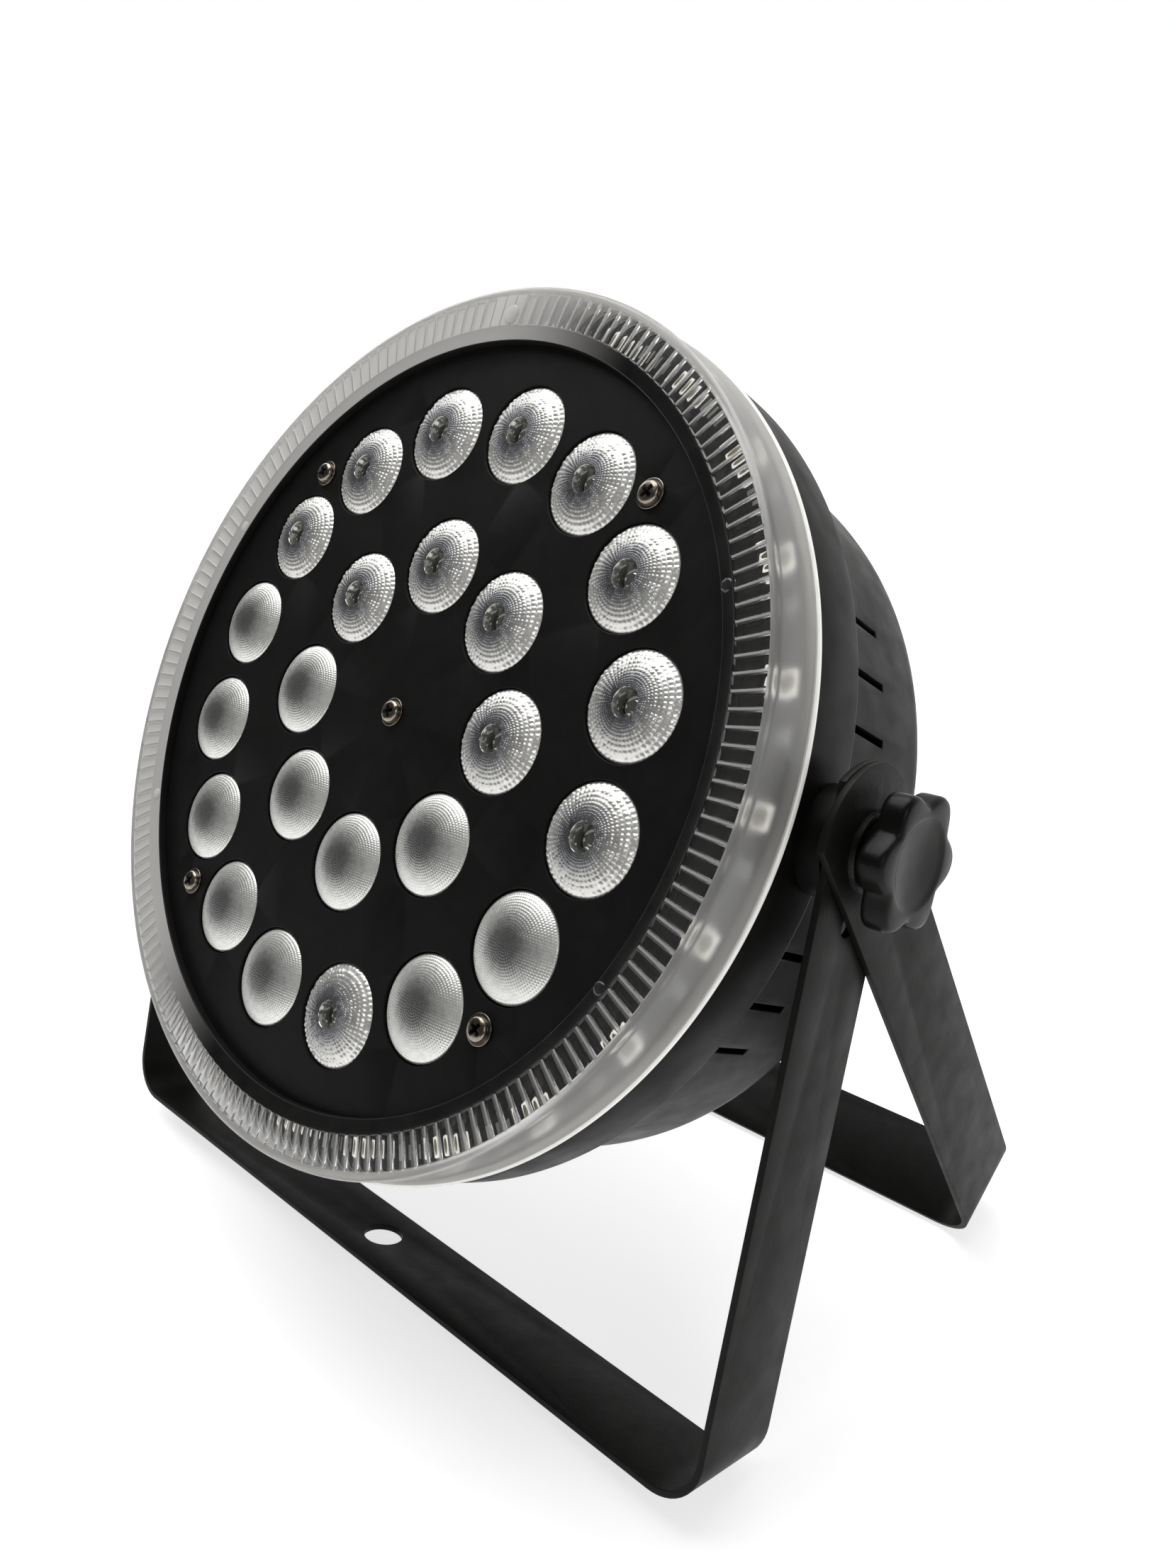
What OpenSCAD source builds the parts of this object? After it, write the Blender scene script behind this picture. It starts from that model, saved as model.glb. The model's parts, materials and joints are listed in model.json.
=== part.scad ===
// LED par can light with a glowing halo ring, standing on its two spread yokes.
// Origin: on the floor, under the middle of the light. +Z up, the lamp faces -Y.
// Head parts are drawn in the head's own frame: x to the right, y up the face,
// z out of the face, with z = 0 on the front plate's outer surface.

/* [Face] */
// Radius of the outer circle of lenses
lens_circle_outer = 70; // [68:0.5:71]
// Radius of the inner circle of lenses
lens_circle_inner = 36.2; // [35:0.1:38]
// Radius of one lens
lens_r = 11.6; // [11:0.1:11.8]
// Radius of the circle that the four outer face screws stand on
face_screw_circle = 80; // [79:0.5:81]
// Thickness of the black front plate
plate_t = 1.5; // [1:0.1:1.6]

/* [Halo ring] */
// Radius of the inner edge of the clear halo ring
halo_in_r = 90.8; // [90:0.1:91]
// Radius of the clear ring's back edge, the widest circle of the head
halo_out_r = 104.9; // [104.8:0.1:105.2]
// Number of small LEDs under the halo ring
halo_led_count = 24; // [12:12:36]

/* [Housing] */
// Outer radius of the black front bezel
bezel_r = 104.4; // [104:0.1:104.5]
// Depth of the bezel's back edge behind the plate
bezel_back = 26.5; // [26:0.5:28]
// Outer radius of the rear housing at its front
housing_r = 98; // [97.8:0.1:98]
// Depth of the housing's back wall behind the plate
housing_back = 78; // [78:0.5:80]
// Length of one vent slot
slot_len = 15; // [10:1:18]
// Width of one vent slot
slot_w = 1.8; // [1.2:0.1:2.4]

/* [Yokes] */
// Upward tilt of the head
tilt = 30; // [20:1:35]
// Depth of the pivot axis behind the plate
pivot_depth = 25; // [24.5:0.5:25.5]
// Width of the yokes' steel strip
strip_w = 23; // [20:1:25]
// Thickness of the yokes' steel strip
strip_t = 1.5; // [1.2:0.1:1.5]
// Distance from the pivot to the outer face of the front yoke's bar
front_len = 133; // [128:1:136]
// Forward lean of the front yoke from the vertical
front_lean = 19; // [15:1:22]
// Backward lean of the rear yoke from the vertical
rear_lean = 29; // [27:1:34]
// Half the width of the front yoke, to its arms' outer faces
front_half_w = 112; // [112:0.1:112.4]
// Radius of the fixing hole in the middle of each yoke's bar
fixing_hole_r = 5; // [4:0.5:6]

/* [Knobs] */
// Radius over the knob's lobes
knob_r = 14; // [13:0.5:15]
// Number of lobes
knob_lobes = 6; // [5:1:7]
// Angle that the knob stands turned by
knob_turn = 12; // [0:1:59]

/* [Hidden] */
$fn = 96;

// small gap between pieces of one body that sit together
gap = 0.2;
// running gap between flat faces that slide on each other
run_gap = 0.05;

// front yoke, pivot height and the rear yoke that reaches the same floor
bend_r = 11.5;
end_r = 17;
arm_hole_drop = 15;
arm_hole_r = 2;
pivot_height = front_len * cos(front_lean) + strip_w / 2 * sin(front_lean);
rear_len = (pivot_height - strip_w / 2 * sin(rear_lean)) / cos(rear_lean);
rear_half_w = front_half_w + strip_t + 0.1;
// puts the middle of the light's whole depth over the origin
pivot_y = -13.3;

// pivot stack along the pivot axis
stud_r = 3;
stud_hole_r = 3.3;
boss_r = 11;
boss_end = front_half_w - strip_t - 1;
washer_t = 1.2;
knob_base = rear_half_w + washer_t + run_gap;
knob_rim = rear_half_w + 4.5;
knob_face = rear_half_w + 10;

// depths of the head's layers, as heights in the head's frame
spacer_bottom = -13.8;
board_t = 1.6;
led_h = 1.9;
sink_top = spacer_bottom - board_t;
sink_base_t = 4;
sink_r = 88;
led_board_r = 90;
fin_pitch = 8;
fin_t = 1.6;
fin_bottom = -33;
fan_top = -35;
fan_t = 15;
fan_size = 60;
fan_hole = 25;
fan_bottom = fan_top - fan_t;
shelf_top = -11.8;
shelf_t = 1.6;
wall = 1.5;
corner_r = 8;
lug_top = shelf_top - shelf_t - 0.1;
lug_bottom = lug_top - 2.6;
bezel_screw_circle = 93.8;
panel_r = 76;
panel_screw_circle = 73;
panel_t = 1.5;
panel_in = -housing_back - 0.1;
panel_out = panel_in - panel_t;
inner_board_z = -52;
inner_board_y = 54;
power_w = 88;
power_h = 40;
control_z = -70;
control_y = 44;
control_w = 70;
control_h = 38;
board_hole_in = 4;
post_r = 3.2;
post_bore_end = -25;
standoff_r = 2.8;

// screws: shank radii, and the room that a thread is drawn with
m3_r = 1.5;
m25_r = 1.25;
m4_r = 2;
thread_gap = 0.03;
screw_gap = 0.2;
small_head_r = 2.2;
head_r = 2.7;
face_washer_t = 0.6;

// places of the parts on the rear panel
button_y = 34;
button_pitch = 16;
button_r = 3.5;
display_y = 51;
display_w = 40;
display_h = 14;
dmx_x = 50;
dmx_y = 4;
mains_x = 30;
mains_y = -44;
fuse_y = -52;
bracket_y = 82;
eye_x = 5;
eye_drop = 10;
eye_r = 4.5;

// places of a board's four screw holes round its middle
function corner_holes(w, h) =
    [for (x = [-1, 1]) for (y = [-1, 1]) [x * (w / 2 - board_hole_in), y * (h / 2 - board_hole_in)]];

// x-y places of the lenses and the five face screws
outer_places = [for (k = [0:15]) let (a = 11.25 + 22.5 * k) lens_circle_outer * [cos(a), sin(a)]];
inner_places = [for (k = [0:7]) let (a = 45 * k) lens_circle_inner * [cos(a), sin(a)]];
screw_places = concat([[0, 0]],
    [for (k = [0:3]) let (a = 45 + 90 * k) face_screw_circle * [cos(a), sin(a)]]);

fan_posts = [for (x = [-1, 1]) for (y = [-1, 1]) fan_hole * [x, y]];
board_posts = [for (side = [-1, 1]) for (p = corner_holes(power_w, power_h))
    [p[0], side * inner_board_y + p[1]]];
control_posts = [for (p = corner_holes(control_w, control_h)) [p[0], control_y + p[1]]];
panel_screw_places = [for (k = [0:5]) let (a = 30 + 60 * k) panel_screw_circle * [cos(a), sin(a)]];
bezel_screw_places = [for (a = [60, 120, 240, 300]) bezel_screw_circle * [cos(a), sin(a)]];

// points on an arc round c from angle a to angle b
function arc(c, r, a, b, n = 8) =
    [for (k = [0:n]) let (t = a + (b - a) * k / n) [c[0] + r * cos(t), c[1] + r * sin(t)]];

// ---- placing ----

module head_frame() {
    translate([0, pivot_y, pivot_height])
        rotate([90 - tilt, 0, 0])
            translate([0, 0, pivot_depth])
                children();
}

module at(places) {
    for (p = places)
        translate([p[0], p[1], 0])
            children();
}

// a solid rod from height a to height b
module rod(r, a, b) {
    translate([0, 0, min(a, b)])
        cylinder(r = r, h = abs(b - a));
}

// a tube from height a to height b
module tube(ro, ri, a, b) {
    difference() {
        rod(ro, a, b);
        rod(ri, min(a, b) - 1, max(a, b) + 1);
    }
}

// a block centred in x and y from height a to height b
module block(w, h, a, b) {
    translate([-w / 2, -h / 2, min(a, b)])
        cube([w, h, abs(b - a)]);
}

// turns z into the direction of the right or left end of the pivot axis
module pivot_side(side) {
    translate([0, pivot_y, pivot_height])
        rotate([0, side * 90, 0])
            children();
}

// ---- face ----

module front_plate() {
    color("#242222")
        head_frame()
            difference() {
                rod(halo_in_r + 2.2, -plate_t, 0);
                at(outer_places) rod(lens_r + 0.3, -plate_t - 1, 1);
                at(inner_places) rod(lens_r + 0.3, -plate_t - 1, 1);
                at(screw_places) rod(1.7, -plate_t - 1, 1);
            }
}

module pan_screw(head_r, shank_r, seat, length) {
    difference() {
        union() {
            rod(head_r, seat, seat + 1.1);
            translate([0, 0, seat + 1.1])
                cylinder(r1 = head_r, r2 = head_r * 0.62, h = 0.7);
            rod(shank_r, seat - length, seat + 0.1);
        }
        translate([0, 0, seat + 1.4]) {
            cube([head_r * 1.1, 0.6, 1.6], center = true);
            cube([0.6, head_r * 1.1, 1.6], center = true);
        }
    }
}

module face_screws() {
    color("#b9ab95")
        head_frame()
            at(screw_places) pan_screw(head_r, m3_r, face_washer_t, 12);
}

module face_washers() {
    color("#a89c88")
        head_frame()
            at(screw_places) tube(3.4, m3_r + 0.1, 0, face_washer_t);
}

// threaded spacers: a bore for the face screw, and a stud that enters the heatsink
module plate_spacers() {
    color("#c9b26a")
        head_frame()
            at(screw_places) {
                difference() {
                    rod(3, spacer_bottom, -plate_t);
                    rod(m3_r + thread_gap, spacer_bottom + 1.2, 0);
                }
                rod(m3_r, sink_top - sink_base_t + 0.4, spacer_bottom + 0.1);
            }
}

// a bead lens: domed front, straight rim and a cone down to the LED
module bead_lens() {
    difference() {
        rotate_extrude()
            polygon(concat([[0, -12.2], [3.4, -12.2], [10.9, -3.2], [lens_r, -3.2]],
                arc([0, -28.35], 31.15, acos(lens_r / 31.15), 90, 10)));
        translate([0, 0, -12.3])
            cylinder(r1 = 2.7, r2 = 2.2, h = 5);
    }
}

module outer_lenses() {
    color([0.85, 0.87, 0.86, 0.8])
        head_frame()
            at(outer_places) bead_lens();
}

module inner_lenses() {
    color([0.85, 0.87, 0.86, 0.8])
        head_frame()
            at(inner_places) bead_lens();
}

// a cup that stands on the LED board and holds a lens by its rim
module lens_holder() {
    floor_z = spacer_bottom + 1.2;
    top = -plate_t - gap;
    rotate_extrude()
        polygon([[8, spacer_bottom], [lens_r + 0.9, spacer_bottom], [lens_r + 0.9, top],
            [lens_r + 0.1, top], [lens_r + 0.1, floor_z], [8, floor_z]]);
}

module outer_lens_holders() {
    color("#1c1c1c")
        head_frame()
            at(outer_places) lens_holder();
}

module inner_lens_holders() {
    color("#1c1c1c")
        head_frame()
            at(inner_places) lens_holder();
}

module led_board() {
    color("#e6e6e0")
        head_frame()
            difference() {
                rod(led_board_r, sink_top, spacer_bottom);
                at(screw_places) rod(1.6, sink_top - 1, spacer_bottom + 1);
            }
}

module led_emitters() {
    color("#3a3a33")
        head_frame()
            at(concat(outer_places, inner_places)) {
                block(5, 5, spacer_bottom, spacer_bottom + 1.1);
                rod(1.9, spacer_bottom + 1, spacer_bottom + led_h - 0.3);
            }
}

module heatsink() {
    color("#a9acae")
        head_frame()
            difference() {
                union() {
                    rod(sink_r, sink_top - sink_base_t, sink_top);
                    at(fan_posts) rod(post_r, fan_top, sink_top - 1);
                    at(board_posts) rod(post_r, fin_bottom, sink_top - 1);
                    intersection() {
                        rod(sink_r - 2, fin_bottom, sink_top - sink_base_t + 1);
                        union()
                            for (k = [-10:10])
                                translate([k * fin_pitch, 0, 0])
                                    block(fin_t, 2 * sink_r, fin_bottom, sink_top - sink_base_t + 0.5);
                    }
                }
                at(screw_places) rod(m3_r + thread_gap, fin_bottom - 1, sink_top + 1);
                at(fan_posts) rod(m3_r + thread_gap, fan_top - 1, post_bore_end);
                at(board_posts) rod(m3_r + thread_gap, fin_bottom - 1, post_bore_end);
            }
}

// ---- halo ring and bezel ----

module halo_ring() {
    section = [[halo_in_r, 0.1], [halo_in_r, 2], [halo_in_r + 0.3, 2.3], [94.6, 3.7],
        [94.9, 3.8], [101.9, 3.4], [102.9, 4], [103.7, 4], [104.2, 3.8], [104.4, 3.2],
        [104.4, 2.2], [103.9, 1.6], [103.9, -6], [104.5, -7], [104.5, -9.4],
        [halo_out_r, -9.6], [halo_out_r, -10.4], [102.5, -10.4], [102.3, 1.2],
        [95.6, 1.6], [93.6, 0.1]];
    color([0.82, 0.84, 0.85, 0.5])
        head_frame() {
            difference() {
                rotate_extrude($fn = 180)
                    polygon(section);
                gate_mark();
            }
            for (a = [-25, 25, 155, 205])
                rotate([0, 0, a])
                    translate([halo_in_r + 2.2, 0, 0])
                        rod(2, 2, 3.4);
        }
}

// the shallow round mark that the mould's gate leaves at the top of the ring
module gate_mark() {
    translate([0, halo_out_r - 5.5, 4.6])
        cylinder(r = 1.6, h = 1.6, center = true);
}

module halo_board() {
    color("#16181a")
        head_frame()
            tube(102, 92.5, shelf_top + gap / 2, shelf_top + gap / 2 + board_t);
}

module halo_leds() {
    color("#e8e2c8")
        head_frame()
            for (k = [0:halo_led_count - 1])
                rotate([0, 0, 360 / halo_led_count * k])
                    translate([96.6, 0, 0])
                        block(5, 5, shelf_top + gap / 2 + board_t, shelf_top + 3.3);
}

module front_bezel() {
    web_top = -bezel_back + wall;
    section = [[91, -plate_t - 0.1], [92.3, -plate_t - 0.1], [92.3, shelf_top],
        [102.8, shelf_top], [102.8, -10.6], [bezel_r, -10.6], [bezel_r, -bezel_back + 1],
        [bezel_r - 0.3, -bezel_back + 0.3], [bezel_r - 1, -bezel_back],
        [housing_r + gap, -bezel_back], [housing_r + gap, web_top], [102.8, web_top],
        [102.8, shelf_top - shelf_t], [91, shelf_top - shelf_t]];
    color("#1d1c1b")
        head_frame()
            difference() {
                rotate_extrude($fn = 180)
                    polygon(section);
                for (side = [-1, 1])
                    translate([0, 0, -pivot_depth])
                        rotate([0, side * 90, 0])
                            rod(boss_r + gap, 95, 110);
                at(bezel_screw_places) rod(m25_r + 0.1, shelf_top - shelf_t - 1, shelf_top + 1);
            }
}

module bezel_screws() {
    color("#55534e")
        head_frame()
            at(bezel_screw_places)
                mirror([0, 0, 1])
                    pan_screw(small_head_r, m25_r, -lug_bottom, 4);
}

// ---- rear housing and panel ----

module vent_slot(angle) {
    rotate([0, 0, angle])
        translate([housing_r - 5, -slot_w / 2, -53])
            cube([10, slot_w, slot_len]);
}

module housing_section() {
    back = -housing_back;
    small_r = housing_r - 1;
    centre = [small_r - corner_r, back + corner_r];
    polygon(concat([[housing_r - wall, lug_top], [housing_r, lug_top]],
        arc(centre, corner_r, 0, -90),
        [[panel_r - 6, back], [panel_r - 6, back + wall]],
        arc(centre, corner_r - wall, -90, 0)));
}

module rear_housing() {
    color("#232221")
        head_frame()
            difference() {
                union() {
                    rotate_extrude($fn = 180)
                        housing_section();
                    at(bezel_screw_places) rod(3, lug_bottom, lug_top);
                }
                at(bezel_screw_places) rod(m25_r + thread_gap, lug_bottom - 1, lug_top + 1);
                for (side = [0, 180])
                    for (k = [0:2])
                        for (s = [-1, 1])
                            vent_slot(side + s * (14.5 + 7.5 * k));
                at(panel_screw_places) rod(m25_r + thread_gap, -housing_back - 1, -housing_back + 3);
                translate([0, bracket_y, 0])
                    rod(m4_r + 0.1, -housing_back - 1, -housing_back + 3);
            }
}

module rear_panel() {
    color("#262524")
        head_frame()
            difference() {
                rod(panel_r, panel_out, panel_in);
                at(panel_screw_places) rod(m25_r + screw_gap, panel_out - 1, panel_in + 1);
                at(control_posts) rod(m25_r + screw_gap, panel_out - 1, panel_in + 1);
                for (ring = [10, 15, 20, 25])
                    vent_arcs(ring);
                translate([0, display_y, 0])
                    block(display_w, display_h, panel_out - 1, panel_in + 1);
                for (k = [0:3])
                    translate([(k - 1.5) * button_pitch, button_y, 0])
                        rod(button_r + 0.3, panel_out - 1, panel_in + 1);
                for (side = [-1, 1]) {
                    translate([side * dmx_x, dmx_y, 0])
                        rod(12.1, panel_out - 1, panel_in + 1);
                    translate([side * mains_x, mains_y, 0])
                        block(27.4, 20.4, panel_out - 1, panel_in + 1);
                }
                translate([0, fuse_y, 0])
                    rod(6.2, panel_out - 1, panel_in + 1);
            }
}

// one ring of curved air slots with three bridges
module vent_arcs(r) {
    difference() {
        tube(r + 1.1, r - 1.1, panel_out - 1, panel_in + 1);
        for (k = [0:2])
            rotate([0, 0, 90 + 120 * k])
                translate([0, -1.5, panel_out - 2])
                    cube([r + 5, 3, panel_t + 4]);
    }
}

module rear_panel_screws() {
    color("#4a4845")
        head_frame()
            at(concat(panel_screw_places, control_posts))
                mirror([0, 0, 1])
                    pan_screw(head_r, m25_r, -panel_out, 4);
}

// a bent eye plate for a safety wire
module safety_bracket() {
    color("#2b2a29")
        head_frame()
            translate([0, bracket_y, -housing_back])
                difference() {
                    union() {
                        block(14, 10, -2, 0);
                        translate([eye_x, 0, 0])
                            block(2, 10, -8, -1);
                        translate([eye_x - 1, 0, -eye_drop])
                            rotate([0, 90, 0])
                                cylinder(r = 8, h = 2);
                    }
                    translate([0, 0, -eye_drop])
                        rotate([0, 90, 0])
                            rod(eye_r, 0, 10);
                    rod(m4_r + 0.1, -3, 1);
                    block(40, 40, 0, 10);
                }
}

// holds the eye plate, with its nut on the inside of the wall
module safety_screw() {
    color("#4a4845")
        head_frame()
            translate([0, bracket_y, -housing_back]) {
                mirror([0, 0, 1])
                    pan_screw(head_r, m4_r, 2, 7);
                difference() {
                    hex_nut();
                    rod(m4_r + thread_gap, 0, 10);
                }
            }
}

module hex_nut() {
    translate([0, 0, wall])
        cylinder(r = 4, h = 3, $fn = 6);
}

// ---- pivots, yokes and knobs ----

module pivot_boss(side) {
    color("#1f1e1d")
        difference() {
            pivot_side(side)
                difference() {
                    rod(boss_r, 95, boss_end);
                    rod(stud_r + 0.05, 94, boss_end + 1);
                }
            head_frame()
                rod(housing_r + 0.1, -60, 0);
        }
}

module left_pivot_boss() {
    pivot_boss(-1);
}

module right_pivot_boss() {
    pivot_boss(1);
}

module friction_washer(side) {
    color("#101010")
        pivot_side(side)
            tube(10, stud_hole_r, boss_end, boss_end + 1 - run_gap);
}

module left_friction_washer() {
    friction_washer(-1);
}

module right_friction_washer() {
    friction_washer(1);
}

// one flat arm: a strip with a round end, its pivot hole and a small hole below it
module yoke_arm(half_w, len) {
    translate([half_w - strip_t, 0, 0])
        rotate([90, 0, 90])
            linear_extrude(strip_t)
                difference() {
                    intersection() {
                        translate([-strip_w / 2, -len])
                            square([strip_w, len + end_r]);
                        union() {
                            circle(r = end_r);
                            translate([-strip_w, -2 * len])
                                square([2 * strip_w, 2 * len]);
                        }
                    }
                    circle(r = stud_hole_r);
                    translate([0, -arm_hole_drop])
                        circle(r = arm_hole_r);
                }
}

// a U of steel strip hanging from the pivot: two arms, two bends and a bar
module yoke(half_w, len) {
    flat = len - bend_r;
    for (side = [0, 1])
        mirror([side, 0, 0]) {
            yoke_arm(half_w, flat);
            translate([half_w - bend_r, strip_w / 2, -flat])
                rotate([90, 0, 0])
                    rotate_extrude(angle = -90)
                        translate([bend_r - strip_t, 0])
                            square([strip_t, strip_w]);
        }
    difference() {
        translate([-half_w + bend_r, -strip_w / 2, -len])
            cube([2 * (half_w - bend_r), strip_w, strip_t]);
        rod(fixing_hole_r, -len - 1, -len + strip_t + 1);
    }
}

module front_yoke() {
    color("#2a2928")
        translate([0, pivot_y, pivot_height])
            rotate([-front_lean, 0, 0])
                yoke(front_half_w, front_len);
}

module rear_yoke() {
    color("#2a2928")
        translate([0, pivot_y, pivot_height])
            rotate([rear_lean, 0, 0])
                yoke(rear_half_w, rear_len);
}

module knob_washer(side) {
    color("#8d8a84")
        pivot_side(side)
            tube(8, stud_hole_r, rear_half_w, rear_half_w + washer_t);
}

module left_knob_washer() {
    knob_washer(-1);
}

module right_knob_washer() {
    knob_washer(1);
}

// a lobed hand knob with a hub under it and a dish in its face
module star_knob(side) {
    lobe_r = 4.6;
    color("#1a1918")
        pivot_side(side)
            rotate([0, 0, knob_turn])
                difference() {
                    union() {
                        rod(7, knob_base, knob_rim + 1);
                        difference() {
                            union() {
                                rod(knob_r - 2, knob_rim, knob_face);
                                for (k = [0:knob_lobes - 1])
                                    rotate([0, 0, 360 / knob_lobes * k])
                                        translate([knob_r - lobe_r, 0, 0])
                                            rod(lobe_r, knob_rim, knob_face);
                            }
                            for (k = [0:knob_lobes - 1])
                                rotate([0, 0, 360 / knob_lobes * (k + 0.5)])
                                    translate([knob_r + 0.6, 0, 0])
                                        rod(3.4, knob_rim - 1, knob_face + 1);
                        }
                    }
                    translate([0, 0, knob_face - 1.4])
                        cylinder(r1 = 6.5, r2 = 8.8, h = 1.5);
                    rod(stud_r, knob_base - 1, knob_face - 4);
                }
}

module left_knob() {
    star_knob(-1);
}

module right_knob() {
    star_knob(1);
}

module knob_stud(side) {
    color("#9b988f")
        pivot_side(side)
            rod(stud_r, 99.5, knob_face - 4);
}

module left_knob_stud() {
    knob_stud(-1);
}

module right_knob_stud() {
    knob_stud(1);
}

// ---- fan ----

module fan_frame() {
    color("#141414")
        head_frame()
            difference() {
                union() {
                    difference() {
                        block(fan_size, fan_size, fan_bottom, fan_top);
                        rod(28.5, fan_bottom - 1, fan_top + 1);
                    }
                    rod(12.5, fan_bottom, fan_bottom + 2);
                    for (a = [45, 135])
                        rotate([0, 0, a])
                            block(62, 3, fan_bottom, fan_bottom + 2);
                }
                rod(1.55, fan_bottom - 1, fan_top);
                at(fan_posts) rod(1.8, fan_bottom - 1, fan_top + 1);
            }
}

module fan_rotor() {
    color("#191919")
        head_frame() {
            rod(12, fan_bottom + 3, fan_top - 0.5);
            rod(1.5, fan_bottom + 0.3, fan_bottom + 4);
            intersection() {
                rod(27.5, fan_bottom + 3.2, fan_top - 1);
                union()
                    for (k = [0:6])
                        rotate([0, 0, 360 / 7 * k])
                            translate([11, 0, fan_bottom + 8.5])
                                rotate([38, 0, 0])
                                    translate([0, -0.6, -9])
                                        cube([20, 1.2, 18]);
            }
        }
}

module fan_screws() {
    color("#85827c")
        head_frame()
            at(fan_posts)
                mirror([0, 0, 1])
                    pan_screw(head_r, m3_r, fan_t - fan_top, fan_t + 5);
}

// ---- electronics ----

module board(w, h, y, z) {
    translate([0, y, 0])
        difference() {
            block(w, h, z - board_t, z);
            at(corner_holes(w, h)) rod(1.6, z - board_t - 1, z + 1);
        }
}

module power_supply_board() {
    color("#2f5d3a")
        head_frame()
            board(power_w, power_h, -inner_board_y, inner_board_z);
}

module power_supply_parts() {
    color("#3b3a36")
        head_frame()
            translate([0, -inner_board_y, 0]) {
                translate([-4, 0, 0]) block(24, 22, inner_board_z, inner_board_z + 15);
                translate([-26, 6, 0]) rod(6.5, inner_board_z, inner_board_z + 14);
                translate([-26, -10, 0]) rod(4, inner_board_z, inner_board_z + 12);
                translate([18, 6, 0]) rod(5, inner_board_z, inner_board_z + 14);
                translate([18, -8, 0]) rod(5, inner_board_z, inner_board_z + 14);
                translate([32, 0, 0]) block(10, 18, inner_board_z, inner_board_z + 12);
            }
}

module driver_board() {
    color("#2f5d3a")
        head_frame()
            board(power_w, power_h, inner_board_y, inner_board_z);
}

module driver_parts() {
    color("#3b3a36")
        head_frame()
            translate([0, inner_board_y, 0])
                for (k = [0:3])
                    translate([(k - 1.5) * 17, 0, 0]) {
                        translate([0, -7, 0]) block(10, 10, inner_board_z, inner_board_z + 5);
                        translate([0, 7, 0]) rod(4, inner_board_z, inner_board_z + 8);
                    }
}

// threaded spacers that hold the two inner boards off the heatsink's posts
module board_standoffs() {
    color("#c9b26a")
        head_frame()
            at(board_posts) {
                difference() {
                    rod(standoff_r, inner_board_z, fin_bottom);
                    rod(m25_r + thread_gap, inner_board_z - 1, inner_board_z + 10);
                }
                rod(m3_r, fin_bottom - 0.1, post_bore_end - 1.5);
            }
}

module board_screws() {
    color("#85827c")
        head_frame()
            at(board_posts)
                mirror([0, 0, 1])
                    pan_screw(small_head_r, m25_r, board_t - inner_board_z, 8);
}

module control_board() {
    color("#2f5d3a")
        head_frame()
            board(control_w, control_h, control_y, control_z);
}

module control_standoffs() {
    color("#c9b26a")
        head_frame()
            at(control_posts) tube(standoff_r, m25_r + thread_gap, panel_in, control_z - board_t);
}

module control_screws() {
    color("#85827c")
        head_frame()
            at(control_posts) pan_screw(small_head_r, m25_r, control_z, 4);
}

module tact_switches() {
    color("#222426")
        head_frame()
            for (k = [0:3])
                translate([(k - 1.5) * button_pitch, button_y, 0])
                    block(6, 6, control_z - board_t - 2, control_z - board_t);
}

module display_module() {
    color("#3c0f0f")
        head_frame()
            translate([0, display_y, 0])
                block(38, 12, control_z - board_t, -housing_back + 1.4);
}

module display_window() {
    color([0.25, 0.06, 0.06, 0.7])
        head_frame()
            translate([0, display_y, 0]) {
                block(display_w - 0.4, display_h - 0.4, panel_out - 0.3, panel_in);
                block(display_w + 3, display_h + 3, panel_in + 0.1, panel_in + 1.1);
                block(display_w - 0.4, display_h - 0.4, panel_in - 0.1, panel_in + 0.2);
            }
}

module push_button(k) {
    color("#3a3a3a")
        head_frame()
            translate([(k - 1.5) * button_pitch, button_y, 0]) {
                rod(button_r, panel_out - 2, -74.6);
                rod(button_r + 1.1, panel_in + 0.1, panel_in + 1);
            }
}

module menu_button() {
    push_button(0);
}

module up_button() {
    push_button(1);
}

module down_button() {
    push_button(2);
}

module enter_button() {
    push_button(3);
}

// ---- sockets on the rear panel ----

module power_inlet() {
    color("#151515")
        head_frame()
            translate([-mains_x, mains_y, 0]) {
                difference() {
                    union() {
                        block(31, 24, panel_out - 2, panel_out);
                        block(27, 20, panel_out - 1, panel_out + 20);
                    }
                    block(23, 16, panel_out - 3, panel_out + 12);
                }
                for (x = [-7, 0, 7])
                    translate([x, x == 0 ? 3 : -1, 0])
                        block(2, 4, panel_out + 0.5, panel_out + 13);
            }
}

module power_outlet() {
    color("#151515")
        head_frame()
            translate([mains_x, mains_y, 0])
                difference() {
                    union() {
                        block(31, 24, panel_out - 2, panel_out);
                        block(27, 20, panel_out - 1, panel_out + 20);
                    }
                    for (x = [-7, 0, 7])
                        translate([x, x == 0 ? 3 : -1, 0])
                            block(2.2, 4.6, panel_out - 3, panel_out + 12);
                }
}

module fuse_holder() {
    color("#1b1b1b")
        head_frame()
            translate([0, fuse_y, 0])
                difference() {
                    union() {
                        rod(8, panel_out - 1.5, panel_out);
                        rod(6, panel_out - 1, panel_out + 22);
                    }
                    rod(4.5, panel_out - 2, panel_out + 18);
                }
}

module fuse_cap() {
    color("#222222")
        head_frame()
            translate([0, fuse_y, 0])
                difference() {
                    union() {
                        rod(7, panel_out - 5.5, panel_out - 1.5 - run_gap);
                        rod(4.4, panel_out - 3, panel_out + 15);
                    }
                    block(9, 1.4, panel_out - 6, panel_out - 4.5);
                }
}

module dmx_shell() {
    block(26, 31, panel_out - 2, panel_out);
    rod(11.8, panel_out - 1, panel_out + 20);
}

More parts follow.
